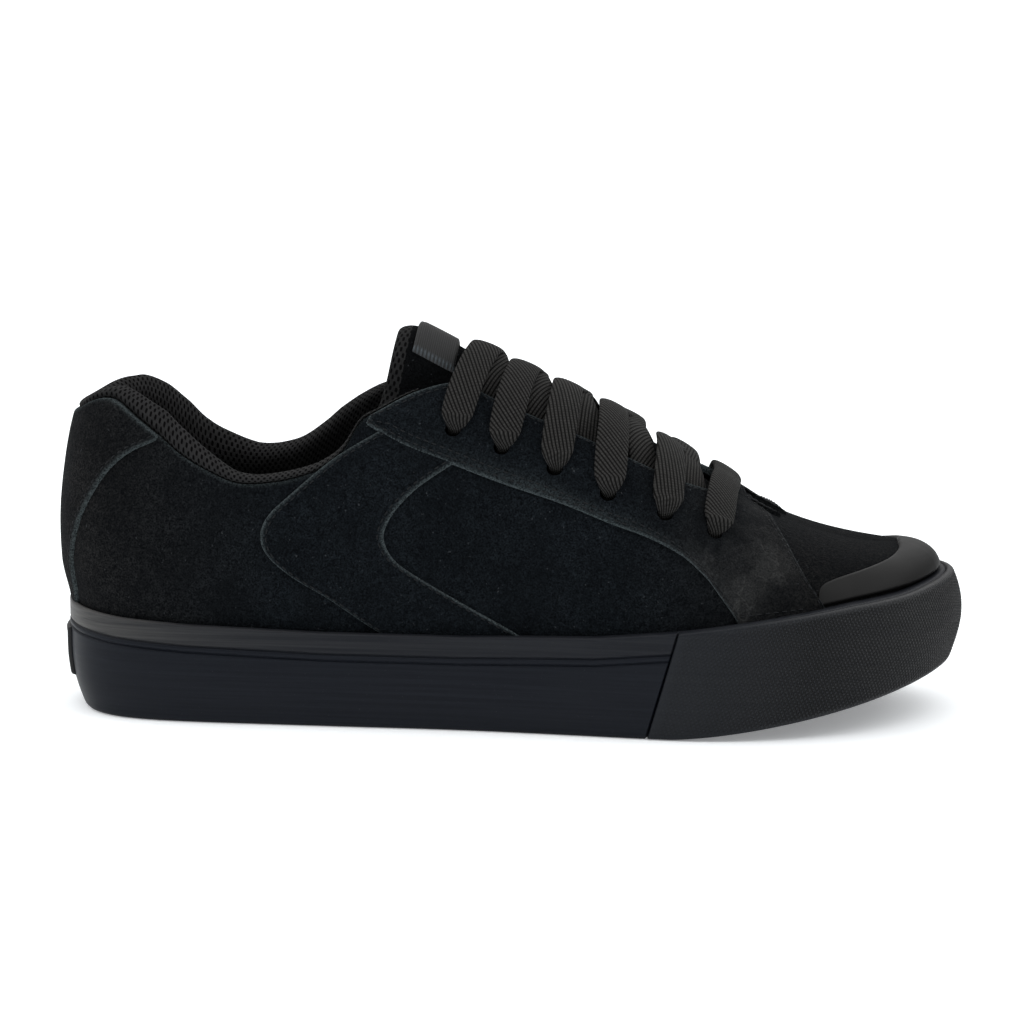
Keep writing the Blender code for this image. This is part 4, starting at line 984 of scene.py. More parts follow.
def joined(parts):
    """Points and faces of several meshes as one."""
    starts = np.cumsum([0] + [len(points) for points, _ in parts])
    return (np.concatenate([points for points, _ in parts]),
            np.concatenate([faces + start for (_, faces), start in zip(parts, starts)]))


def thread(name, colour):
    """Twisted thread: fine lighter flecks read from the place in the shoe."""
    material, tree, shader = finish_material(name, 0.6, 0.15, Base_Color=colour)
    twist = noise(tree, 3000.0, 1.0)
    tree.links.new(mixed(tree, twist, colour, shaded(colour, 2.2)), shader.inputs["Base Color"])
    return material


overlay_face = OVERLAY_GAP + OVERLAY_THICK
rows = []
for distance in STITCH_ROWS:
    rows.append(stitch_row(inside_line(eyestay_turn, eyestay_up, distance), overlay_face))
rows.append(stitch_row(inside_line(eyestay_turn, eyestay_up, STITCH_ROWS[0], from_high=True), overlay_face))
for turn, up in panel_grids.values():
    for from_high in (False, True):
        rows.append(stitch_row(inside_line(turn, up, PANEL_ROW, from_high), OVERLAY_GAP + PANEL_THICK))
for from_high in (False, True):
    rows.append(stitch_row(inside_line(counter_turn.T, counter_up.T, PANEL_ROW, from_high), overlay_face))
seams = make_piece("seam_stitches", *joined(rows), [thread("black_thread", (0.0045, 0.0052, 0.0060, 1))])
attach(seams, "root")

# Collar lining
# Foam rolled into spacer mesh: it stands above the suede edge, rolls inward and lines the heel. Small open
# cells show in staggered rows. It is sewn in along the rim.

# Along, thickness of the padding, depth of the lining below the rim
COLLAR = np.array([
    (0.000, 0.0080, 0.030),
    (0.120, 0.0085, 0.028),
    (0.200, 0.0070, 0.022),
    (0.280, 0.0060, 0.022),
    (0.330, 0.0040, 0.022),
    (0.360, 0.0022, 0.020),
    (0.410, 0.0020, 0.016),
])
COLLAR_END = 0.405
LEAST_ROLL = 0.0016
LINING_GAP = 0.0004
MESH_PITCH = 0.0020
MESH_HOLE = (0.0010, 0.0010, 0.0012, 1)


def from_rim(turn, edge_up, climb, out):
    """Point a given way above or below the collar's edge along the section, moved outward by out."""
    upward = last_point(turn, edge_up + 1e-3) - last_point(turn, edge_up - 1e-3)
    speed = np.linalg.norm(upward, axis=-1) / 2e-3
    held_up = edge_up + np.minimum(climb, 0) / speed
    below = last_point(turn, held_up) + last_normal(turn, held_up) * np.asarray(out)[..., None]
    return below + unit(upward) * np.maximum(climb, 0)[:, None]


def cell_cloth(name, pitch, ground, yarn):
    """Spacer mesh: round dark cells in staggered rows, the product of two cosines of the UV in metres."""
    material, tree, shader = finish_material(name, 0.9, 0.04, Sheen_Weight=0.01, Sheen_Roughness=0.5)
    uneven = noise(tree, 420.0, 2.0)
    long_way, short_way = read_uv(tree)[:2]
    cells = product(tree, wave(tree, long_way, pitch), wave(tree, short_way, pitch * 1.55))
    hole = node(tree, 'ShaderNodeMapRange', {"interpolation_type": 'SMOOTHSTEP'},
                i0=cells, i1=0.05, i2=0.55, i3=0.0, i4=1.0).outputs[0]
    cloth = mixed(tree, uneven, yarn, shaded(yarn, 0.45))
    tree.links.new(mixed(tree, hole, cloth, ground), shader.inputs["Base Color"])
    add_bump(tree, shader, combined(tree, 'MULTIPLY_ADD', hole, -1.0, uneven), 0.9, 0.0005)
    return material


collar_stop = np.interp(COLLAR_END, OUTLINE[:, 0], np.linspace(0, 1, len(OUTLINE)))
collar_turns = np.linspace(-collar_stop, collar_stop, 301)
collar_edge = rim_up(collar_turns)
along = along_of(last_point(collar_turns, collar_edge)[:, 0])
roll = np.maximum(np.interp(along, RIM[:, 0], RIM[:, 3]) * INSTEP_HEIGHT, LEAST_ROLL)
pad = np.interp(along, COLLAR[:, 0], COLLAR[:, 1])
depth = np.interp(along, COLLAR[:, 0], COLLAR[:, 2])
wall = -(UPPER_WALL + LINING_GAP)
collar_profile = [
    (-depth, wall - pad * 0.30),
    (-depth, wall + pad * 0),
    (-depth * 0.55, wall + pad * 0),
    (-depth * 0.20, wall + pad * 0),
    (-depth * 0.03, wall + pad * 0),
    (roll * 0 + 0.0004, -0.0012 + pad * 0),
    (roll * 0.25, 0.0001 + roll * 0.02),
    (roll * 0.55, 0.0001 - roll * 0.02),
    (roll * 0.86, -0.0008 - pad * 0.14),
    (roll * 1.00, wall - pad * 0.22),
    (roll * 0.80, wall - pad * 0.62),
    (roll * 0.30, wall - pad * 0.94),
    (-depth * 0.15, wall - pad * 1.00),
    (-depth * 0.55, wall - pad * 0.72),
]
loop_at = np.linspace(0, len(collar_profile), 85)[:-1]
climbs = periodic_spline(np.array([row[0] for row in collar_profile]), loop_at)
outs = periodic_spline(np.array([row[1] for row in collar_profile]), loop_at)
outs = np.where((loop_at[:, None] > 1.0) & (loop_at[:, None] < 4.2), np.minimum(outs, wall), outs)
loops = np.stack([from_rim(collar_turns, collar_edge, climb, out) for climb, out in zip(climbs, outs)], 1)
count, corners = loops.shape[:2]
faces = np.concatenate([grid_faces(count, corners, loop=True)[:, ::-1], end_caps(count, corners, (1, -1))])
long_way = run_along(loops[:, 30])
round_way = run_across(loops).mean(0)
collar_uv = np.stack(np.broadcast_arrays(long_way[:, None], round_way[None]), -1)
lining = make_piece("collar_roll", loops, faces, [
    cell_cloth("collar_mesh", MESH_PITCH, MESH_HOLE, (0.027, 0.027, 0.0275, 1)),
], uv=collar_uv)
turn_outward(lining.data)
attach(lining, "root")
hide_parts("collar_lining")

# Tongue
# A foam pad in a suede face and a mesh back, turned at the edges, that rises through the throat and runs on
# under the vamp. A woven tab, left bare, is sewn over its top.

# Along, lift of the middle, fall of the sides, half width as a share of the section, thickness
TONGUE = np.array([
    (0.372, 0.0062, 0.0068, 0.36, 0.0070),
    (0.400, 0.0062, 0.0066, 0.40, 0.0082),
    (0.452, 0.0026, 0.0052, 0.42, 0.0078),
    (0.530, -0.0005, 0.0038, 0.40, 0.0066),
    (0.620, -0.0016, 0.0036, 0.36, 0.0056),
    (0.690, -0.0024, 0.0036, 0.31, 0.0044),
    (0.735, -0.0036, 0.0036, 0.27, 0.0035),
    (0.790, -0.0036, 0.0036, 0.23, 0.0030),
])
LABEL_SPAN = (0.392, 0.438)
# How far the tongue's side corners stand back from its free end, as a share of the way round the sole
TONGUE_SLANT = 0.017
LABEL_HALF = 0.31
LABEL_THICK = 0.0008
LABEL_GAP = 0.0009
TONGUE_END_ROUND = 0.0060
TAB_RIB = 0.00065
SEWN_PITCH = 0.0012
SEWN_COLOUR = (0.075, 0.088, 0.098, 1)


def ridge_station(along):
    """Station of the section whose ridge lies at a share along the shoe."""
    return np.interp(along, ridge_line, ridge_samples)


def tongue_face(station, share, lift):
    """Point of the tongue's face. Share runs from -1 at the lateral edge to 1 at the medial edge."""
    at = section(station)[..., 0]
    column = [np.interp(at, TONGUE[:, 0], TONGUE[:, k])[:, None] for k in (1, 2, 3)]
    slant = np.interp(at, [TONGUE[0, 0], 0.55], [TONGUE_SLANT, 0])[:, None] * np.abs(share) ** 2
    place = station[:, None] - slant
    turn = np.where(share <= 0, place, 2 - place)
    up = 1 - np.abs(share) * column[2]
    open_half = np.where(station < throat_end, 1 - rim_up(station), 1e-6)[:, None]
    fall = eased(np.clip((1 - up) / np.maximum(open_half, 1e-6), 0, 1))
    out = column[0] * (1 - fall) - column[1] * fall + lift
    return last_point(turn, up) + last_normal(turn, up) * out[..., None]


tongue_along = TONGUE[0, 0] + (TONGUE[-1, 0] - TONGUE[0, 0]) * (np.linspace(0, 1, 170) ** 1.15)
tongue_stations = ridge_station(tongue_along)
padding = np.interp(tongue_along, TONGUE[:, 0], TONGUE[:, 4])
from_end = (tongue_along - tongue_along[0]) * LENGTH
end_round = np.maximum(quarter_round(from_end / TONGUE_END_ROUND), 0.03)
angle = np.linspace(0, 2 * np.pi, 97)[:-1]
cosine = np.cos(angle)
sine = np.sin(angle)
tongue_share = np.sign(cosine) * np.abs(cosine) ** 0.75
tongue_level = (np.sign(sine) * np.abs(sine) ** 0.55 - 1) / 2
middle_dip = -0.5 * padding[:, None] * (1 - end_round[:, None])
lift = middle_dip + padding[:, None] * end_round[:, None] * tongue_level[None]
loops = tongue_face(tongue_stations, np.broadcast_to(tongue_share[None], lift.shape), lift)
count, corners = loops.shape[:2]
faces = np.concatenate([grid_faces(count, corners, loop=True), end_caps(count, corners)])
face_angle = (angle[faces[:, 0] % corners] + angle[faces[:, 2] % corners]) / 2
is_face = (np.sin(face_angle) > 0.30) & (faces[:, 0] // corners > 8)
across_run = run_across(loops).mean(0)
along_run = run_along(loops[:, 24])
tongue_uv = np.stack(np.broadcast_arrays(along_run[:, None], across_run[None]), -1)
tongue = make_piece("tongue_pad", loops, faces, [
    suede("suede_tongue", ground=(0.0012, 0.0013, 0.0015, 1), hair=(0.006, 0.0066, 0.0072, 1)),
    cell_cloth("tongue_mesh", MESH_PITCH, MESH_HOLE, (0.020, 0.0202, 0.0205, 1)),
], uv=tongue_uv, edge=np.zeros(count * corners), part=np.where(is_face, 0, 1))
turn_outward(tongue.data)
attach(tongue, "root")
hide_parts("tongue")


def woven_tab(name, colour):
    """Satin-woven tape: fine ribs across the tab from its UV in metres, with a pale sewn line."""
    material, tree, shader = finish_material(name, 0.6, 0.10, Base_Color=colour)
    share = ranged(tree, wave(tree, read_uv(tree)[0], TAB_RIB, 'SINE'), -1.0, 1.0)
    cloth = mixed(tree, share, colour, shaded(colour, 1.7))
    tree.links.new(mixed(tree, read_mark(tree, "edge"), cloth, SEWN_COLOUR), shader.inputs["Base Color"])
    add_bump(tree, shader, share, 0.5, 0.0002)
    return material


label_along = np.linspace(LABEL_SPAN[0], LABEL_SPAN[1], 60)
label_stations = ridge_station(label_along)
label_shares = np.broadcast_to(np.linspace(-LABEL_HALF, LABEL_HALF, 80)[None], (60, 80))
across_edge = np.minimum(np.arange(80), np.arange(80)[::-1])[None] / 3.0
along_edge = np.minimum(np.arange(60), np.arange(60)[::-1])[:, None] / 3.0
label_round = np.clip(np.minimum(across_edge, along_edge), 0, 1) ** 0.5
outer = tongue_face(label_stations, label_shares, 0.0001 + (LABEL_GAP + LABEL_THICK) * label_round)
inner = tongue_face(label_stations, label_shares, np.full((60, 80), 0.0001))
points, faces = closed_between(outer, inner)
stitched = 0.5 + 0.5 * np.sin(label_along * LENGTH * 2 * np.pi / SEWN_PITCH)[:, None]
sewn = np.exp(-((label_shares + LABEL_HALF * 0.955) / 0.012) ** 2) * stitched
label_uv = np.stack([np.broadcast_to((label_along * LENGTH)[:, None], (60, 80)), label_shares * 0.03], -1)
label = make_piece("tongue_tab", points, faces, [woven_tab("tab_weave", (0.018, 0.0182, 0.0185, 1))],
                   uv=np.concatenate([label_uv.reshape(-1, 2)] * 2),
                   edge=np.concatenate([sewn.ravel(), 0 * sewn.ravel()]))
turn_outward(label.data)
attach(label, "root")
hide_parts("tongue_label")

# Insole
# A moulded foam footbed with a cloth cover and a raised rim round the heel. It lies loose in the shoe, a little
# smaller than the inside of the cup.
INSOLE_THICK = 0.0040
INSOLE_GAP = 0.0008
INSOLE_LIFT = 0.0006
HEEL_RIM = 0.0030
insole_stations = np.linspace(0.0, 1.0, 150)
insole_inset = section(insole_stations)[:, 2] * BALL_WIDTH + CUP_TUCK + UPPER_WALL + INSOLE_GAP
left_edge = outline(insole_stations, insole_inset)
right_edge = outline(2 - insole_stations, insole_inset)
share = crowded(50)[None, :, None]
plan = left_edge[:, None] * (1 - share) + right_edge[:, None] * share
beside = np.abs(2 * share[..., 0] - 1)
cup = HEEL_RIM * np.clip((beside - 0.45) / 0.55, 0, 1) ** 2 * np.clip(1.4 - 2 * insole_stations, 0, 1)[:, None]
under = cup_floor(plan[..., 0]) + INSOLE_LIFT
rounded = INSOLE_THICK * np.clip((1 - beside) / 0.03, 0, 1) ** 0.5
outer = np.concatenate([plan, (under + rounded + cup * np.clip((1 - beside) / 0.04, 0, 1))[..., None]], -1)
inner = np.concatenate([plan, under[..., None]], -1)
points, faces = closed_between(outer, inner)
footbed = make_piece("footbed", points, faces, [lining_cloth("footbed_cover", (0.006, 0.0061, 0.0065, 1))])
weld(footbed)
turn_outward(footbed.data)
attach(footbed, "root")
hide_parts("insole")

# Cup sole
# One black vulcanised rubber cup. Its tall side carries two fine grooves with a bead between them under the
# rim, and rounds in toward the floor. The rubber is faintly brushed along its length.
TOE_SPRING = 0.0175
SPRING_START = 0.68
EDGE_TUCK = 0.0055
BOTTOM_ROUND = 0.0012
TOP_ROUND = 0.0009
GROOVE_DEPTH = 0.00065
GROOVE_WIDTH = 0.00034
GROOVE_HIGH = 0.0070
GROOVE_LOW = 0.0092
GROOVE_STEP = 0.00018
BEAD_AT = 0.0081
BEAD_RISE = 0.00012
BEAD_WIDTH = 0.0008
# Share of the side's height at which its lower corner is round
CORNER_SHARE = 0.035
SEAM_TOP = 0.6087
SEAM_SLANT = 0.0277
BUMPER_THICK = 0.0020
# Round the toe the side leans in at its top and bulges at mid height
TOE_LEAN = 0.0027
TOE_BULGE = 0.0006


def spring(x):
    """Height of the underside: flat as far as SPRING_START, then a rising curve to the toe."""
    share = np.clip((along_of(x) - SPRING_START) / (1 - SPRING_START), 0, None)
    return TOE_SPRING * share ** 1.35


def side_tuck(turn, share):
    """How far the side stands in from its outline, as it rounds to the floor and leans at the toe's top."""
    toe = eased(np.clip((station_of(turn) - 0.80) / 0.14, 0, 1))
    bulge = TOE_BULGE * np.exp(-((share - 0.5) / 0.25) ** 2)
    lean = TOE_LEAN * np.clip((share - 0.62) / 0.38, 0, 1) ** 2 - bulge
    ends = np.interp(station_of(turn), [0, 0.1, 0.3, 0.8, 1.0], [1.0, 0.7, 0.5, 0.5, 0.6])
    rows = resample([(0, 1.0), (0.07, 0.73), (0.26, 0.27), (0.43, 0.06), (0.6, 0.0), (1.0, 0.0)], 60)
    return toe * lean + EDGE_TUCK * ends * np.interp(share, rows[:, 0], np.clip(rows[:, 1], 0, 1))


def slanted(turn, share):
    """Moves the stations beside the bumper's seam back toward the heel, more so lower down."""
    near = np.clip(1 - np.abs(station_of(turn) - SEAM_TOP) / 0.16, 0, 1)
    shift = SEAM_SLANT * (1 - share) * near
    return np.where(np.mod(turn, 2.0) <= 1, turn - shift, turn + shift)


def side_point(turn, share, inset):
    """Point of the sole's side at a share of its height, inset from the outline."""
    moved = slanted(turn, share)
    edge = outline(moved)
    plan = outline(moved, inset)
    z = spring(edge[..., 0]) + (sidewall_top(edge[..., 0]) - spring(edge[..., 0])) * share
    return np.concatenate([plan, z[..., None]], -1)


# Moulded rubber: long faint streaks from the mould and buffing, a little dust, soft unevenness, and a painted
# highlight: a pale colour where a piece's highlight mark is set
PAINTED_HIGHLIGHT_COLOUR = (0.090, 0.088, 0.084, 1)
DUST_COLOUR = (0.07, 0.07, 0.075, 1)
grained, grained_in, grained_out = make_group(
    "moulded_rubber",
    [("Ground", 'NodeSocketColor'), ("Streak", 'NodeSocketColor'), ("Dust", 'NodeSocketFloat')],
    [("Color", 'NodeSocketColor'), ("Roughness", 'NodeSocketFloat'), ("Height", 'NodeSocketFloat')],
)
place = node(grained, 'ShaderNodeTexCoord').outputs["Object"]
stretched = node(grained, 'ShaderNodeMapping', Vector=place, Scale=(14.0, 60.0, 900.0)).outputs[0]
streaks = node(grained, 'ShaderNodeTexNoise', Vector=stretched, Scale=1.0, Detail=5.0,
               Roughness=0.65).outputs[0]
specks = noise(grained, 1500.0, 3.0)
patches = noise(grained, 26.0, 3.0)
streak_share = product(grained, ranged(grained, streaks, 0.40, 0.70),
                       ranged(grained, patches, 0.3, 0.7, 0.4, 1.0))
lined = mixed(grained, streak_share, grained_in.outputs["Ground"], grained_in.outputs["Streak"])
# Painted highlight: pale colour by the piece's mark, broken up by the streaks
painted_highlight_share = product(grained, read_mark(grained, "shine"), ranged(grained, streaks, 0.30, 0.66, 0.35, 1.0))
lined = mixed(grained, painted_highlight_share, lined, PAINTED_HIGHLIGHT_COLOUR)
dust = product(grained, ranged(grained, specks, 0.68, 0.80), grained_in.outputs["Dust"])
grained.links.new(mixed(grained, dust, lined, DUST_COLOUR), grained_out.inputs["Color"])
gloss = combined(grained, 'MULTIPLY_ADD', streaks, 0.14, ranged(grained, patches, 0.3, 0.7, 0.36, 0.50))
grained.links.new(gloss, grained_out.inputs["Roughness"])
grained.links.new(combined(grained, 'MULTIPLY_ADD', specks, 0.25, streaks), grained_out.inputs["Height"])


def rubber(name, ground, streak, dust=0.25, bump=0.12, specular=0.20):
    """Black rubber with a dull shine."""
    material, tree, shader = finish_material(name, 0.5, specular)
    add_finish(tree, shader, grained, bump, 0.0003, {"Ground": ground, "Streak": streak, "Dust": dust})
    return material


side_stations = np.linspace(0, 1, 241)
side_stations = np.sort(np.concatenate([
    side_stations[np.abs(side_stations - SEAM_TOP) > 0.003], SEAM_TOP + np.array([-0.0016, -0.0008, 0.0])]))
side_turns = np.concatenate([side_stations, 2 - side_stations[-2:0:-1]])
in_seat = station_of(side_turns) >= SEAM_TOP - 1e-9
seat = np.where(in_seat, BUMPER_THICK + 0.0003, 0.0)
edge_height = sidewall_top(outline(side_turns)[:, 0]) - spring(outline(side_turns)[:, 0])


def cup_ring(share, inset):
    """Ring round the cup's side, moved inward by the inset, the band's seat and the side's own tuck."""
    return side_point(side_turns, share, inset + seat + side_tuck(side_turns, share))


rings = []
for share in np.concatenate([[0.0, 0.012, 0.03, 0.05], np.linspace(0.08, 0.62, 16)]):
    rings.append(cup_ring(share, BOTTOM_ROUND * (1 - quarter_round(share / CORNER_SHARE))))
groove_steps = np.arange(4, -5, -1) * GROOVE_STEP
drops = np.concatenate([
    [0.0112, 0.0104], GROOVE_LOW + groove_steps, [0.0083, BEAD_AT, 0.0079],
    GROOVE_HIGH + groove_steps, [0.0055, 0.0040, 0.0025, 0.0014]])
for drop in drops:
    groove = sum(
        GROOVE_DEPTH * np.exp(-((drop - at) / GROOVE_WIDTH) ** 2) for at in (GROOVE_LOW, GROOVE_HIGH))
    proud = BEAD_RISE * np.exp(-((drop - BEAD_AT) / BEAD_WIDTH) ** 2)
    rings.append(cup_ring(1 - drop / edge_height, np.where(in_seat, 0, groove - proud)))
for turned in np.linspace(0, np.pi / 2, 6):
    drop = TOP_ROUND * (1 - np.sin(turned))
    rings.append(cup_ring(1 - drop / edge_height, TOP_ROUND * (1 - np.cos(turned))))
cup_low = cup_floor(section_foot(side_turns)[:, 0])
rim_level = rings[-1][:, 2]
outward = (outline(side_turns, -0.001) - outline(side_turns)) / 0.001
# Share of the inner height, outward shift and fall of each ring inside the cup
INNER_RINGS = (
    (1.0, 0.0004, 0.0003), (0.94, -0.0006, 0), (0.7, 0.0004, 0), (0.4, 0.0004, 0), (0.0, 0.0004, 0))
for share, shift, fall in INNER_RINGS:
    level = cup_low + (rim_level - cup_low) * share
    inner = last_point(side_turns, up_of_height(side_turns, level))
    rings.append(np.concatenate([inner[:, :2] + outward * shift, (level - fall)[:, None]], 1))
around = len(side_turns)
points = np.stack(rings, 1)
faces = [grid_faces(around, len(rings), ring=True)]
half = len(side_stations)
inner_ring = (np.arange(around) + 1) * len(rings) - 1
medial = np.concatenate([inner_ring[:1], inner_ring[:half - 2:-1]])
faces.append(np.stack([inner_ring[:half][:-1], medial[:-1], medial[1:], inner_ring[:half][1:]], -1))
ring_drop = (rim_level[:, None] - points[..., 2]) * (np.arange(len(rings)) < len(rings) - len(INNER_RINGS))
above_groove = np.clip((GROOVE_HIGH + 0.0004 - ring_drop) / 0.0008, 0, 1)
# Painted highlight on the cup: the band above the upper groove is painted paler, most of all at the heel
strip = above_groove * np.exp(-(points[..., 0] + HEEL_TO_ORIGIN) / 0.030) + 0.10 * above_groove
cup = make_piece("rubber_cup", points, np.concatenate(faces), [
    rubber("sidewall_rubber", (0.0034, 0.0048, 0.0084, 1), (0.0075, 0.0095, 0.0140, 1),
           bump=0.10, specular=0.12),
], shine=strip)
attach(cup, "root")
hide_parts("cupsole")

# Tread
# The underside of the same moulded rubber: a plain margin, and inside it diamond lugs cut by two families of
# grooves.
TREAD_DEPTH = 0.0016
TREAD_PITCH = 0.0085
TREAD_GROOVE = 0.0011
TREAD_MARGIN = 0.0065
# Slant of the grooves across the shoe, and the share of a slanted pitch that is measured square to them
TREAD_SLANT = 1.25
TREAD_SQUARE = 0.62
lateral_edge = points[:half, 0]
medial_edge = np.concatenate([lateral_edge[:1], points[:half - 2:-1, 0]])
share = crowded(150)[None, :, None]
flat = lateral_edge[:, None] * (1 - share) + medial_edge[:, None] * share
width = np.linalg.norm(medial_edge - lateral_edge, axis=1)[:, None]
to_side = np.minimum(share[..., 0], 1 - share[..., 0]) * width
x, y = flat[..., 0], flat[..., 1]
to_end = np.minimum(x - lateral_edge[0, 0], lateral_edge[:, 0].max() - x)
allowed = np.clip((np.minimum(to_side, to_end) - TREAD_MARGIN) / 0.0008, 0, 1)
cut = np.zeros(x.shape)
for way in (1, -1):
    phase = (x + way * y * TREAD_SLANT) / TREAD_PITCH
    off = np.abs(phase - np.round(phase)) * TREAD_PITCH * TREAD_SQUARE
    cut = np.maximum(cut, 1 - np.clip((off - TREAD_GROOVE * 0.5) / 0.0005, 0, 1))
level = spring(x) + TREAD_DEPTH * cut * allowed
tread = make_piece("sole_tread", np.stack([x, y, level], -1), grid_faces(*x.shape)[:, ::-1], [
    rubber("tread_rubber", (0.0080, 0.0085, 0.0100, 1), (0.013, 0.014, 0.016, 1), dust=0.4),
])
weld(tread)
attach(tread, "root")

# Toe bumper
# A knurled rubber band let into the side round the toe, with slanted ends. Fine ribs in two directions cross
# into small diamonds, worn smooth near the seams. The knurl's valleys are painted darker as painted shade, and
# the band is painted paler toward the toe as a painted highlight.
KNURL_PITCH = 0.00120
KNURL_DEPTH = 0.00028
# How far the band stands out of the cup's side
BAND_PROUD = 0.0003
SEAM_ROUND = 0.0008
SEAM_GAP = 0.0012
BAND_TOP_ROUND = 0.0011
# Slants of the two families of ribs, away from upright
KNURL_SLANTS = (math.radians(-28), math.radians(50))


def knurled(material, valley_shade_colour):
    """Knurl on a rubber: two families of cosine ribs over the UV in metres that cross as diamonds, valleys in
    painted shade.
    """
    tree = material.node_tree
    shader = tree.nodes["Principled BSDF"]
    way = read_uv(tree)
    turns_per_metre = 2 * math.pi / KNURL_PITCH
    valleys = []
    for slant in KNURL_SLANTS:
        upward = product(tree, way[1], math.sin(slant) * turns_per_metre)
        phase = combined(tree, 'MULTIPLY_ADD', way[0], math.cos(slant) * turns_per_metre, upward)
        valleys.append(ranged(tree, combined(tree, 'COSINE', phase), -0.9, 0.7, 1.0, 0.0))
    deep = combined(tree, 'MAXIMUM', valleys[0], product(tree, valleys[1], 0.8))
    deep = product(tree, deep, read_mark(tree, "carved"))
    plain = shader.inputs["Base Color"].links[0].from_socket
    # Painted shade: the knurl's valleys take a darker colour
    tree.links.new(mixed(tree, deep, plain, valley_shade_colour), shader.inputs["Base Color"])
    relief = node(tree, 'ShaderNodeBump', {"invert": True}, Strength=0.8, Distance=0.0004, Height=deep,
                  Normal=shader.inputs["Normal"].links[0].from_socket)
    tree.links.new(relief.outputs["Normal"], shader.inputs["Normal"])
    return material


bumper_stations = np.linspace(SEAM_TOP + SEAM_GAP, 1.0, 480)
bumper_turns = np.concatenate([bumper_stations, 2 - bumper_stations[-2::-1]])
bumper_shares = np.linspace(0.012, 1.0, 88)
turn = np.broadcast_to(bumper_turns[:, None], (len(bumper_turns), len(bumper_shares)))
share = np.broadcast_to(bumper_shares[None], turn.shape)
plain = side_point(turn, share, side_tuck(turn, share) - BAND_PROUD)
run = run_along(plain[:, 42])
run = np.abs(run - run[-1] / 2)[:, None]
rise = plain[..., 2]
from_seam = run.max() - run
fade = np.clip(0.35 + (from_seam - 0.010) / 0.060, 0.35, 1) * np.clip(from_seam / 0.004, 0, 1)
fade = fade * np.clip((1 - share) / 0.05, 0, 1) * np.clip((share - 0.01) / 0.05, 0, 1)
ribs = [run * math.cos(slant) + rise * math.sin(slant) for slant in KNURL_SLANTS]
steep, shallow = [np.cos(2 * np.pi * way / KNURL_PITCH) for way in ribs]
deep = np.clip((0.7 - np.minimum(steep, shallow)) / 1.6, 0, 1) * fade
turned = np.clip((share - 0.965) / 0.035, 0, 1)
tuck = side_tuck(turn, share) - BAND_PROUD + KNURL_DEPTH * deep
tuck = tuck + BAND_TOP_ROUND * (1 - np.sqrt(1 - turned ** 2))
seam_round = SEAM_ROUND * (1 - quarter_round(from_seam / SEAM_ROUND))
outer = side_point(turn, share, tuck + seam_round)
inner = side_point(turn, share, side_tuck(turn, share) + BUMPER_THICK - BAND_PROUD)[:, [-1, 30, 0]]
points = np.concatenate([outer, inner], 1)
count, corners = points.shape[:2]
bumper_uv = np.stack(np.broadcast_arrays(run, points[..., 2]), -1)
band_rubber = rubber("band_rubber", (0.0080, 0.0095, 0.0128, 1), (0.0125, 0.0145, 0.0175, 1),
                     dust=0.10, bump=0.04, specular=0.16)
# Painted highlight: the band is painted paler away from its seams, toward the toe
band_shine = np.clip((from_seam - 0.02) / 0.09, 0, 1) * 0.38
bumper = make_piece("toe_band", points, grid_faces(count, corners, loop=True),
                    [knurled(band_rubber, (0.0020, 0.0022, 0.0025, 1))], uv=bumper_uv,
                    carved=np.concatenate([fade, np.zeros((count, 3))], 1),
                    shine=np.broadcast_to(band_shine, (count, corners)))
work = bmesh.new()
work.from_mesh(bumper.data)
bmesh.ops.holes_fill(work, edges=[edge for edge in work.edges if edge.is_boundary])
work.to_mesh(bumper.data)
work.free()
turn_outward(bumper.data)
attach(bumper, "root")
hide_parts("toe_bumper")

# Toe guard
# A smooth moulded rubber cover glued over the end of the toe. It is plump beside the sole's rim and thins out
# toward its long upper edge.
GUARD_THICK = 0.0011
GUARD_BULGE = 0.0021
GUARD_EDGE = np.array([
    (0.742, 0.05), (0.7435, 0.12), (0.750, 0.18), (0.765, 0.225), (0.800, 0.30), (0.850, 0.42), (0.900, 0.57),
    (0.950, 0.70), (1.000, 0.74),
])
guard_stations = GUARD_EDGE[0, 0] + (1 - GUARD_EDGE[0, 0]) * np.linspace(0, 1, 110) ** 1.3
guard_turns = np.concatenate([guard_stations, 2 - guard_stations[-2::-1]])
guard_rim = sidewall_top(section_foot(guard_turns)[:, 0])
low = up_of_height(guard_turns, guard_rim + 0.0001)
guard_rows = resample(GUARD_EDGE, 120)
high = low + (1 - low) * np.interp(station_of(guard_turns), guard_rows[:, 0], guard_rows[:, 1])
guard_up = low[:, None] + (high - low)[:, None] * crowded(48)[None]
guard_turn = np.broadcast_to(guard_turns[:, None], guard_up.shape)
over_rim = last_point(guard_turn, guard_up)[..., 2] - guard_rim[:, None]
toe = np.clip((station_of(guard_turn) - 0.78) / 0.16, 0, 1)
plump = GUARD_BULGE * toe * np.exp(-((over_rim - 0.003) / 0.0055) ** 2)
guard_thick = GUARD_THICK - 0.0006 * crowded(48)[None] + plump
guard_rubber = rubber("guard_rubber", (0.0030, 0.0030, 0.0030, 1), (0.0045, 0.0045, 0.0045, 1),
                      dust=0.02, bump=0.03, specular=0.14)
guard = laid_panel("toe_cover", guard_turn, guard_up, guard_thick, guard_rubber, rounded=0.0014)
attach(guard, "root")
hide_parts("toe_guard")

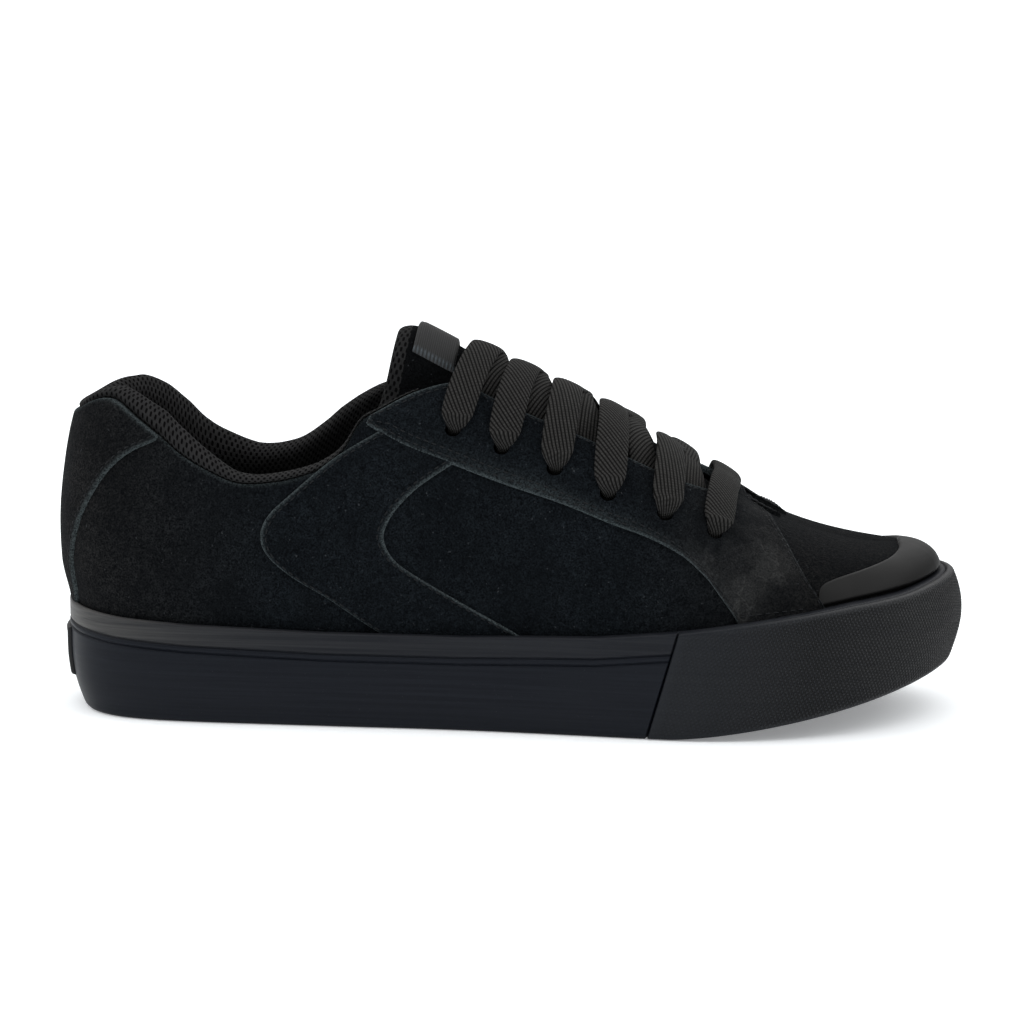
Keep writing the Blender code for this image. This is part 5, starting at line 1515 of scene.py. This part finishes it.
# Heel patch
# A small moulded rubber plate glued to the back of the sole. Its field is left bare inside a fine raised
# border.
PATCH_THICK = 0.0010
PATCH_ROUND = 0.0008
PATCH_BORDER = 0.0016
PATCH_SINK = 0.00025
PATCH_HEIGHT = 0.0165
PATCH_FOOT = 0.0105
patch_turns = np.linspace(-0.046, 0.046, 90)
patch_levels = np.linspace(PATCH_FOOT, PATCH_FOOT + PATCH_HEIGHT, 50)
turn, level = np.meshgrid(patch_turns, patch_levels, indexing="ij")
tuck = side_tuck(turn, level / sidewall_top(-HEEL_TO_ORIGIN))
run = run_along(outline(patch_turns))
beside = np.minimum(run, run[-1] - run)[:, None]
above = np.minimum(level - level[0, 0], level[0, -1] - level)
inside = np.minimum(beside, above)
rise = PATCH_THICK * quarter_round(inside / PATCH_ROUND)
rise = rise - PATCH_SINK * np.clip((inside - PATCH_BORDER) / 0.0004, 0, 1)
outer = np.concatenate([outline(turn, tuck - 0.0003 - rise), level[..., None]], -1)
inner = np.concatenate([outline(turn, tuck + 0.0002), level[..., None]], -1)
points, faces = closed_between(outer, inner)
patch = make_piece("heel_plate", points, faces,
                   [rubber("plate_rubber", (0.0085, 0.0088, 0.0095, 1), (0.014, 0.014, 0.015, 1), dust=0.1)])
turn_outward(patch.data)
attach(patch, "root")
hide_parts("heel_patch")

# Laces
# Flat woven polyester tubes about 11 mm wide. Each strand leaves an eyelet, folds over the facing's edge,
# crosses the tongue and slips under the far facing to the next eyelet; a straight bar closes the front.
LACE_WIDTH = 0.0106
LACE_THICK = 0.0025
LACE_GAP = 0.0004
LACE_TOPS = np.array([0.467, 0.511, 0.559, 0.609, 0.671, 0.733])
RIB_PITCH = 0.00120
CROSSING_PITCH = 0.0010
# Rib gaps painted dark as painted shade, rib tops painted pale as painted highlight
RIB_GAP_SHADE_COLOUR = (0.0020, 0.0020, 0.0019, 1)
RIB_TOP_HIGHLIGHT_COLOUR = (0.040, 0.0395, 0.038, 1)
# How much the woven ribs slant away from each strand, in degrees
RIB_SLANTS = np.array([34.0, 42.0, 16.0, 40.0, 10.0, 46.0])
# How much of the gap to the next crossing the under strand moves forward on the ridge
UNDER_FORWARD = 0.85
LACE_CORNERS = 48
LACE_ROWS = 140
lace_angle = np.linspace(0, 2 * np.pi, LACE_CORNERS + 1)[:-1]


def lace_band(station, side, out, width, slant):
    """Points, faces and UV of a flat tube through places on the form.

    Side is the way down from the ridge, below 0 on the lateral side and above 0 on the medial one. The UV's
    first way runs across the slanting ribs.
    """
    rows = np.stack([station, side, out, width], 1)
    station, side, out, width = smooth_line(rows, np.linspace(0, len(station) - 1, LACE_ROWS)).T
    turn = np.where(side <= 0, station, 2 - station)
    normal = last_normal(turn, 1 - np.abs(side))
    centre = last_point(turn, 1 - np.abs(side)) + normal * out[:, None]
    ahead = unit(np.gradient(centre, axis=0))
    beside = unit(np.cross(ahead, normal))
    face = np.cross(beside, ahead)
    cosine, sine = np.cos(lace_angle), np.sin(lace_angle)
    flat = np.sign(cosine) * np.abs(cosine) ** 0.9
    dome = np.sign(sine) * np.abs(sine) ** 0.8
    run = run_along(centre)
    across = flat[None] * width[:, None] / 2
    lean = math.radians(slant)
    plump = LACE_THICK / 2 * (1 + 0.25 * np.clip(1 - width / LACE_WIDTH, 0, 1))[:, None]
    raised = plump * dome[None]
    loops = centre[:, None] + beside[:, None] * across[..., None] + face[:, None] * raised[..., None]
    faces = np.concatenate([
        grid_faces(LACE_ROWS, LACE_CORNERS, loop=True), end_caps(LACE_ROWS, LACE_CORNERS, (-1, 1))])
    woven = np.broadcast_to(flat[None] * LACE_WIDTH / 2, across.shape)
    uv = np.stack([woven * math.cos(lean) + run[:, None] * math.sin(lean),
                   run[:, None] * math.cos(lean) - woven * math.sin(lean)], -1)
    return loops.reshape(-1, 3), faces, uv.reshape(-1, 2)


def lace_cloth(name):
    """Woven polyester: painted highlight on the rib tops, painted shade in the gaps, short crossing stitches
    from the UV in metres.
    """
    material, tree, shader = finish_material(name, 0.8, 0.06, Sheen_Weight=0.01, Sheen_Roughness=0.4)
    way = read_uv(tree)
    top = wave(tree, way[0], RIB_PITCH)
    crossing = wave(tree, way[1], CROSSING_PITCH, 'SINE')
    share = product(tree, ranged(tree, top, -0.85, 0.35), ranged(tree, crossing, -1.0, 1.0, 0.66, 1.0),
                    ranged(tree, noise(tree, 1400.0, 2.0), 0.3, 0.7, 0.55, 1.0))
    tree.links.new(mixed(tree, share, RIB_GAP_SHADE_COLOUR, RIB_TOP_HIGHLIGHT_COLOUR), shader.inputs["Base Color"])
    add_bump(tree, shader, share, 0.8, 0.0003)
    return material


lace_material = lace_cloth("lace_weave")
lace_rest = OVERLAY_GAP + OVERLAY_THICK + LACE_GAP + LACE_THICK / 2
down_out = np.array([-0.0052, -0.0026])
down_width = LACE_WIDTH * np.array([0.36, 0.40])
for k in range(6):
    strands = []
    bar = k == 5
    top_station = float(ridge_station(LACE_TOPS[k]))
    tongue_top = np.interp(LACE_TOPS[k], TONGUE[:, 0], TONGUE[:, 1])
    for lateral in (True, False):
        if not (lateral or bar):
            gap = LACE_TOPS[k + 1] - LACE_TOPS[k] - LACE_WIDTH / LENGTH
            top_station = float(ridge_station(LACE_TOPS[k] + UNDER_FORWARD * gap))
        hole_turn, hole_up = on_form(EYELETS[k:k + 1], lateral)[0]
        hole_station = float(station_of(hole_turn))
        edge_up = float(rim_up(np.array([(hole_station + top_station) / 2]))[0])
        over = lace_rest if bar else max(tongue_top + LACE_GAP + LACE_THICK / 2 + 0.0006, -0.0004)
        over = over + (0.0 if bar or not lateral else LACE_THICK * 0.75)
        share = np.array([0.03, 0.075, 0.14, 0.34, 0.62, 1.0])
        near_station = hole_station + (top_station - hole_station) * share
        near_station[:3] = near_station[:3] + np.array([0.0010, 0.0007, 0.0003])
        near_up = hole_up + (1 - hole_up) * share
        inward = np.clip((near_up - edge_up) / (1 - edge_up), 0, 1)
        near_out = lace_rest + (over - lace_rest) * inward * inward * (3 - 2 * inward)
        near_out[0] = 0.0006
        near_out[1] = near_out[1] + 0.0003
        near_width = LACE_WIDTH * np.array([0.56, 0.84, 0.98, 1.02, 1.0, 1.0])
        down_station = np.array([hole_station + 0.002, hole_station + 0.001])
        down_up = np.array([hole_up - 0.010, hole_up - 0.004])
        if bar:
            station = np.concatenate([down_station, near_station, near_station[-2::-1], down_station[::-1]])
            side = np.concatenate([down_up - 1, near_up - 1, 1 - near_up[-2::-1], 1 - down_up[::-1]])
            out = np.concatenate([down_out, near_out, near_out[-2::-1], down_out[::-1]])
            width = np.concatenate([down_width, near_width, near_width[-2::-1], down_width[::-1]])
            strands.append(lace_band(station, side, out, width, RIB_SLANTS[k]))
            break
        next_turn, next_up = on_form(EYELETS[k + 1:k + 2], lateral)[0]
        next_station = float(station_of(next_turn))
        far_share = np.array([0.34, 0.62, 0.86])
        far_station = top_station + (next_station - top_station) * far_share
        far_up = 1 + (next_up - 1) * far_share
        far_edge = float(rim_up(np.array([(next_station + top_station) / 2]))[0])
        past = np.clip((1 - far_up) / (1 - far_edge), 0, 1)
        far_out = over + (-0.0042 - over) * past ** 1.4
        far_width = LACE_WIDTH * np.array([1.0, 0.95, 0.65])
        station = np.concatenate([down_station, near_station, far_station])
        side = np.concatenate([down_up - 1, near_up - 1, 1 - far_up])
        out = np.concatenate([down_out, near_out, far_out])
        width = np.concatenate([down_width, near_width, far_width])
        slant = RIB_SLANTS[k] if lateral else -RIB_SLANTS[k]
        strands.append(lace_band(station, side if lateral else -side, out, width, slant))
    name = "lace_bar" if bar else f"lace_crossing_{6 - k}"
    points, faces = joined([strand[:2] for strand in strands])
    band_uv = np.concatenate([strand[2] for strand in strands])
    band = make_piece(name, points, faces, [lace_material], uv=band_uv)
    turn_outward(band.data)
    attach(band, "root")
    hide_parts(f"lace_{6 - k}")

# Floor and light
# A white sweep with a faint glow of its own, under a broad soft sky light, with weaker ones low at the heel
# and at the toe.
FLOOR_REACH = 16.0
floor_material = finish_material("white_sweep", 0.7, 0.1, Base_Color=(0.93, 0.955, 0.97, 1),
                                 Emission_Color=(0.97, 0.98, 1.0, 1), Emission_Strength=0.22)[0]
floor_mesh = bpy.data.meshes.new("floor")
floor_corners = [(x * FLOOR_REACH, y * FLOOR_REACH, 0) for x, y in ((-1, -1), (1, -1), (1, 1), (-1, 1))]
floor_mesh.from_pydata(floor_corners, [], [(0, 1, 2, 3)])
floor_mesh.materials.append(floor_material)
floor = bpy.data.objects.new("floor", floor_mesh)
bpy.context.scene.collection.objects.link(floor)

world = bpy.data.worlds.new("studio")
world.use_nodes = True
world.node_tree.nodes["Background"].inputs["Color"].default_value = (1.0, 1.0, 1.0, 1)
world.node_tree.nodes["Background"].inputs["Strength"].default_value = 0.40
bpy.context.scene.world = world
bpy.context.scene.view_settings.view_transform = 'Standard'

# Name, direction that the light comes from, its width in degrees, strength
LIGHTS = [
    ("sky_light", (0.0, 0.25, 1.0), 110.0, 2.75),
    ("heel_light", (-1.0, -0.15, 0.55), 40.0, 0.75),
    ("toe_light", (1.0, -0.25, 0.55), 40.0, 0.75),
]
for name, direction, wide, strength in LIGHTS:
    lamp = bpy.data.lights.new(name, 'SUN')
    lamp.angle = math.radians(wide)
    lamp.energy = strength
    light = bpy.data.objects.new(name, lamp)
    light.rotation_euler = Vector(direction).to_track_quat('Z', 'Y').to_euler()
    bpy.context.scene.collection.objects.link(light)
